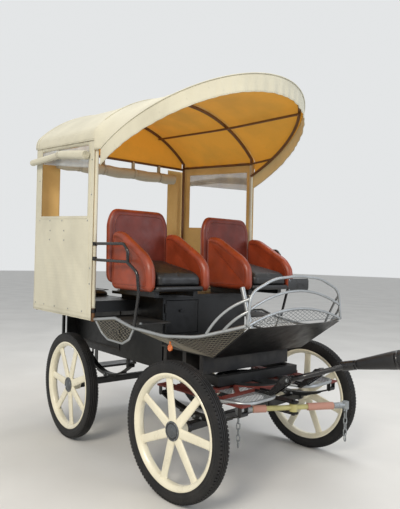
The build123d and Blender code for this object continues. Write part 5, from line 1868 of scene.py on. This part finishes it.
def make_pole_cover():
    """The pole's padded leather cover: stuffed between its ties, laced along the underside."""
    up = pole_line.cross(front_axle_line).normalized()
    if up.z < 0:
        up = -up
    side = pole_line.cross(up)
    shape = Shape()
    rows = []
    # distance along the pole, radius
    table = (
        (0.076, 0.030), (0.120, 0.035), (0.330, 0.056), (0.420, 0.058), (1.480, 0.0575), (1.640, 0.036),
        (1.679, 0.031))
    ties = (0.34, 0.72, 1.10, 1.46)
    for reach in spread(table[0][0], table[-1][0], 130):
        for (a, ra), (b, rb) in zip(table, table[1:]):
            if a <= reach <= b + 1e-9:
                radius = ra + (rb - ra) * (reach - a) / (b - a)
        pinch = sum(exp(-(((reach - t) / 0.012) ** 2)) for t in ties)
        row = []
        middle = pole_crotch + pole_line * reach
        for k, out in enumerate(circle(up, side, 32)):
            seam = max(0, -cos(2 * pi * k / 32)) ** 12
            dent = 1 - 0.07 * pinch + 0.018 * ripple(middle + out * radius, 0.07, 41) - 0.03 * seam
            row.append(middle + out * radius * min(1.0, dent))
        rows.append(row)
    shape.loft(rows)
    cover = shape.piece("padded_pole_cover", ["pad"], "pad_black", "pole")
    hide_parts("pole_pad")
    straps = Shape()
    for tie in ties:
        rows = []
        for offset, reach in ((-0.010, 0.0535), (-0.010, 0.0562), (0.010, 0.0562), (0.010, 0.0535)):
            middle = pole_crotch + pole_line * (tie + offset)
            rows.append([middle + out * reach for out in circle(up, side, 32)])
        straps.grid(rows, ring=True, loop=True)
    straps.piece("pole_cover_straps", ["gloss_black"], "pad_black", "pole")
    lace = Shape()
    stitch = [(-0.009, -0.0042, 0.0006), (-0.003, 0, 0.0014), (0.003, 0, 0.0014), (0.009, 0.0042, 0.0006)]
    lace.tube(stitch, 0.0014, 6)
    spots = []
    for k in range(stitch_count):
        spot = pole_crotch + pole_line * (stitch_start + k * stitch_pitch) - up * 0.0548
        spots.append((spot, -up, side if k % 2 else -side))
    repeats("pole_cover_lacing", spots, lace, "thread", "pole")


link_half_length = 0.024
link_half_width = 0.013
link_wire = 0.0040


def link_shape():
    """One oval chain link standing along Z, its opening facing X."""
    shape = Shape()
    straight = link_half_length - link_half_width
    reach = link_half_width - link_wire * 0.5
    bow = [Vector((0, reach * cos(t), straight + reach * sin(t))) for t in spread(0, pi, 10)]
    shape.tube(bow + [-p for p in bow], link_wire, 8, closed=True)
    return shape


def make_chains():
    """The trace chains of five links that hang from the evener's ends."""
    spots = []
    across = evener_line.cross(Vector((0, 0, 1)))
    pitch = 0.0387
    for end in (trace_right, trace_left):
        for index in range(5):
            spot = Vector((end.x, end.y, 0.4528 - index * pitch))
            facing = across if index % 2 else evener_line
            spots.append((spot, (0, 0, 1), facing))
    made = repeats("trace_chain_links", spots, link_shape(), "zinc", "evener")
    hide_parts("trace_chains")


def make_bolts():
    """Hexagon nuts where the real vehicle is bolted: pole lugs, spring seats, seat platform and side plates."""
    up, ahead = (0, 0, 1), (1, 0, 0)
    front, rest = [], []
    for side in (-1, 1):
        for cheek in (-1, 1):
            front.append((steered((0.470, side * 0.180 + cheek * 0.034, 0.745)), front_axle_line * cheek, up))
        for x in (-0.028, 0.028):
            for y in (-0.022, 0.022):
                front.append((steered((x, side * 0.500 + y, 0.469)), up, ahead))
                rest.append(((rear_x + x, side * 0.365 + y, 0.469), up, ahead))
        rest += [((x, side * 0.470, 1.222), up, ahead) for x in (-1.500, -1.250, -0.960)]
        rest += [((x, side * 0.700, 1.0352), up, ahead) for x in (-1.08, -0.80)]
    for body, spots in (("front_carriage", front), ("chassis", rest)):
        repeats(f"nuts_{body}", spots, nut_shape(0.009, 0.009), "zinc", body)


class WAGONETTE_OT_draught(bpy.types.Operator):
    """Builds the padded pole cover, the trace chains and the nuts"""

    bl_idname = "wagonette.draught"
    bl_label = "Pole, chains and nuts"

    def execute(self, context):
        make_pole_cover()
        make_chains()
        make_bolts()
        return {"FINISHED"}


# Finishes of the pieces that keep their own mesh
kept_finishes = {
    "steel": (
        "box_door", "chassis_rails", "cross_members", "evener_bracket", "front_springs",
        "rear_springs", "rear_step", "seat_box", "seat_platform", "toe_board", "turntable_upper"),
    "gloss_black": ("grab_rails", "pole_bar", "pole_head", "pole_lugs"),
    "silver": ("brake_lever", "side_tubes"),
    "oxide": ("front_platform",),
    "matting": ("floors", "side_plates"),
    "bar": ("evener_bar",),
    "sleeve": ("evener_sleeves",),
    "zinc": ("evener_ends",),
    "reflector": ("side_reflectors",),
}


class WAGONETTE_OT_finishes(bpy.types.Operator):
    """Gives every piece that keeps its own mesh the finish of the real one"""

    bl_idname = "wagonette.finishes"
    bl_label = "Finishes"

    def execute(self, context):
        for finish, names in kept_finishes.items():
            for name in names:
                piece = frame["nodes"][name]
                piece.data.materials.clear()
                piece.data.materials.append(finishes[finish])
        return {"FINISHED"}


# Stage: pale floor, soft light and the camera
camera_place = (2.214, -2.641, 1.469)
camera_turn = radians(50.861)
camera_pitch = radians(0.871)
camera_roll = radians(1.253)
camera_lens = 36.65
floor_reach = 60


def make_camera():
    """The camera, at the place from which the vehicle is seen from its front right."""
    data = bpy.data.cameras.new("camera")
    data.lens = camera_lens
    data.sensor_width = 36
    data.clip_end = 200
    camera = placed("camera", data)
    ahead = Vector((
        -sin(camera_turn) * cos(camera_pitch), cos(camera_turn) * cos(camera_pitch),
        sin(camera_pitch)))
    level = Vector((cos(camera_turn), sin(camera_turn), 0))
    upright = level.cross(ahead)
    right = level * cos(camera_roll) + upright * sin(camera_roll)
    up = -level * sin(camera_roll) + upright * cos(camera_roll)
    turn = Matrix((right, up, -ahead)).transposed().to_4x4()
    camera.matrix_world = Matrix.Translation(camera_place) @ turn
    bpy.context.scene.camera = camera


def make_lamp(name, place, aim, size, power, colour):
    """A large soft lamp that looks at a point."""
    data = bpy.data.lights.new(name, "AREA")
    data.shape = "DISK"
    data.size = size
    data.energy = power
    data.color = colour[:3]
    lamp = placed(name, data)
    lamp.location = place
    lamp.rotation_mode = "QUATERNION"
    lamp.rotation_quaternion = (Vector(aim) - Vector(place)).to_track_quat("-Z", "Y")


def make_floor():
    """A wide pale floor."""
    mesh = bpy.data.meshes.new("floor")
    corners = rectangle(-floor_reach, -floor_reach, floor_reach, floor_reach)
    mesh.from_pydata([(p.x, p.y, 0) for p in corners], [], [(0, 1, 2, 3)])
    floor = placed("floor", mesh)
    material, tree, shader, place = new_material("pale studio floor")
    ground = drifting(tree, place, 900, linear("#D6D5D1"), linear("#DEDDD9"))
    feed(shader, {"Base Color": ground, "Roughness": 0.85})
    mesh.materials.append(material)


def make_world():
    """A plain pale surround that also shows in gloss and glass."""
    world = bpy.data.worlds.new("studio")
    world.use_nodes = True
    tree = world.node_tree
    tree.nodes.clear()
    rays = node(tree, "ShaderNodeLightPath").outputs
    seen = arithmetic(tree, "MAXIMUM", rays["Is Camera Ray"], rays["Is Glossy Ray"])
    clear = arithmetic(tree, "MAXIMUM", seen, rays["Is Transmission Ray"])
    light = node(tree, "ShaderNodeBackground", {"Color": linear("#F2F4F7"), "Strength": 0.62})
    shown = node(tree, "ShaderNodeBackground", {"Color": linear("#E9EBEC"), "Strength": 0.95})
    mixed = node(tree, "ShaderNodeMixShader", {0: clear, 1: light.outputs[0], 2: shown.outputs[0]})
    node(tree, "ShaderNodeOutputWorld", {"Surface": mixed.outputs[0]})
    bpy.context.scene.world = world


class WAGONETTE_OT_stage(bpy.types.Operator):
    """Sets the pale floor, the soft lamps and the camera"""

    bl_idname = "wagonette.stage"
    bl_label = "Stage"

    def execute(self, context):
        context.scene.view_settings.view_transform = "Standard"
        make_floor()
        make_world()
        make_lamp("key", (3.0, -6.5, 6.0), (-1.0, 0, 1.2), 3.0, 470, linear("#FFF6E8"))
        make_lamp("top", (-1.5, 1.5, 7.5), (-1.2, 0, 2.0), 5.0, 210, linear("#FFFFFF"))
        make_lamp("fill", (6.0, 3.0, 3.0), (-0.5, 0, 1.2), 3.5, 150, linear("#EAF1FF"))
        make_camera()
        return {"FINISHED"}


class WAGONETTE_PT_panel(bpy.types.Panel):
    """Lists the colours, the sizes and the steps that build the vehicle"""

    bl_label = "Wagonette"
    bl_idname = "WAGONETTE_PT_panel"
    bl_space_type = "VIEW_3D"
    bl_region_type = "UI"
    bl_category = "Wagonette"

    def draw(self, context):
        layout = self.layout
        for group in (context.scene.wagonette_colours, context.scene.wagonette_sizes):
            for key in group.__annotations__:
                layout.prop(group, key)
        for step in steps:
            layout.operator(step.bl_idname)


steps = (
    WAGONETTE_OT_wheels,
    WAGONETTE_OT_hood,
    WAGONETTE_OT_curtains,
    WAGONETTE_OT_seats,
    WAGONETTE_OT_meshes,
    WAGONETTE_OT_draught,
    WAGONETTE_OT_finishes,
    WAGONETTE_OT_stage,
)
classes = (WagonetteColours, WagonetteSizes, *steps, WAGONETTE_PT_panel)


def register():
    """Makes the classes and the settings known to Blender."""
    for item in classes:
        bpy.utils.register_class(item)
    bpy.types.Scene.wagonette_colours = PointerProperty(type=WagonetteColours)
    bpy.types.Scene.wagonette_sizes = PointerProperty(type=WagonetteSizes)


def unregister():
    """Takes the classes and the settings away again."""
    del bpy.types.Scene.wagonette_sizes
    del bpy.types.Scene.wagonette_colours
    for item in reversed(classes):
        bpy.utils.unregister_class(item)


def main():
    """Builds every piece in order."""
    register()
    make_finishes(bpy.context.scene.wagonette_colours)
    trees["strands"] = strands_tree()
    trees["repeats"] = repeats_tree()
    bpy.ops.wagonette.wheels()
    bpy.ops.wagonette.hood()
    bpy.ops.wagonette.curtains()
    bpy.ops.wagonette.seats()
    bpy.ops.wagonette.meshes()
    bpy.ops.wagonette.draught()
    bpy.ops.wagonette.finishes()
    bpy.ops.wagonette.stage()


if __name__ == "__main__":
    main()
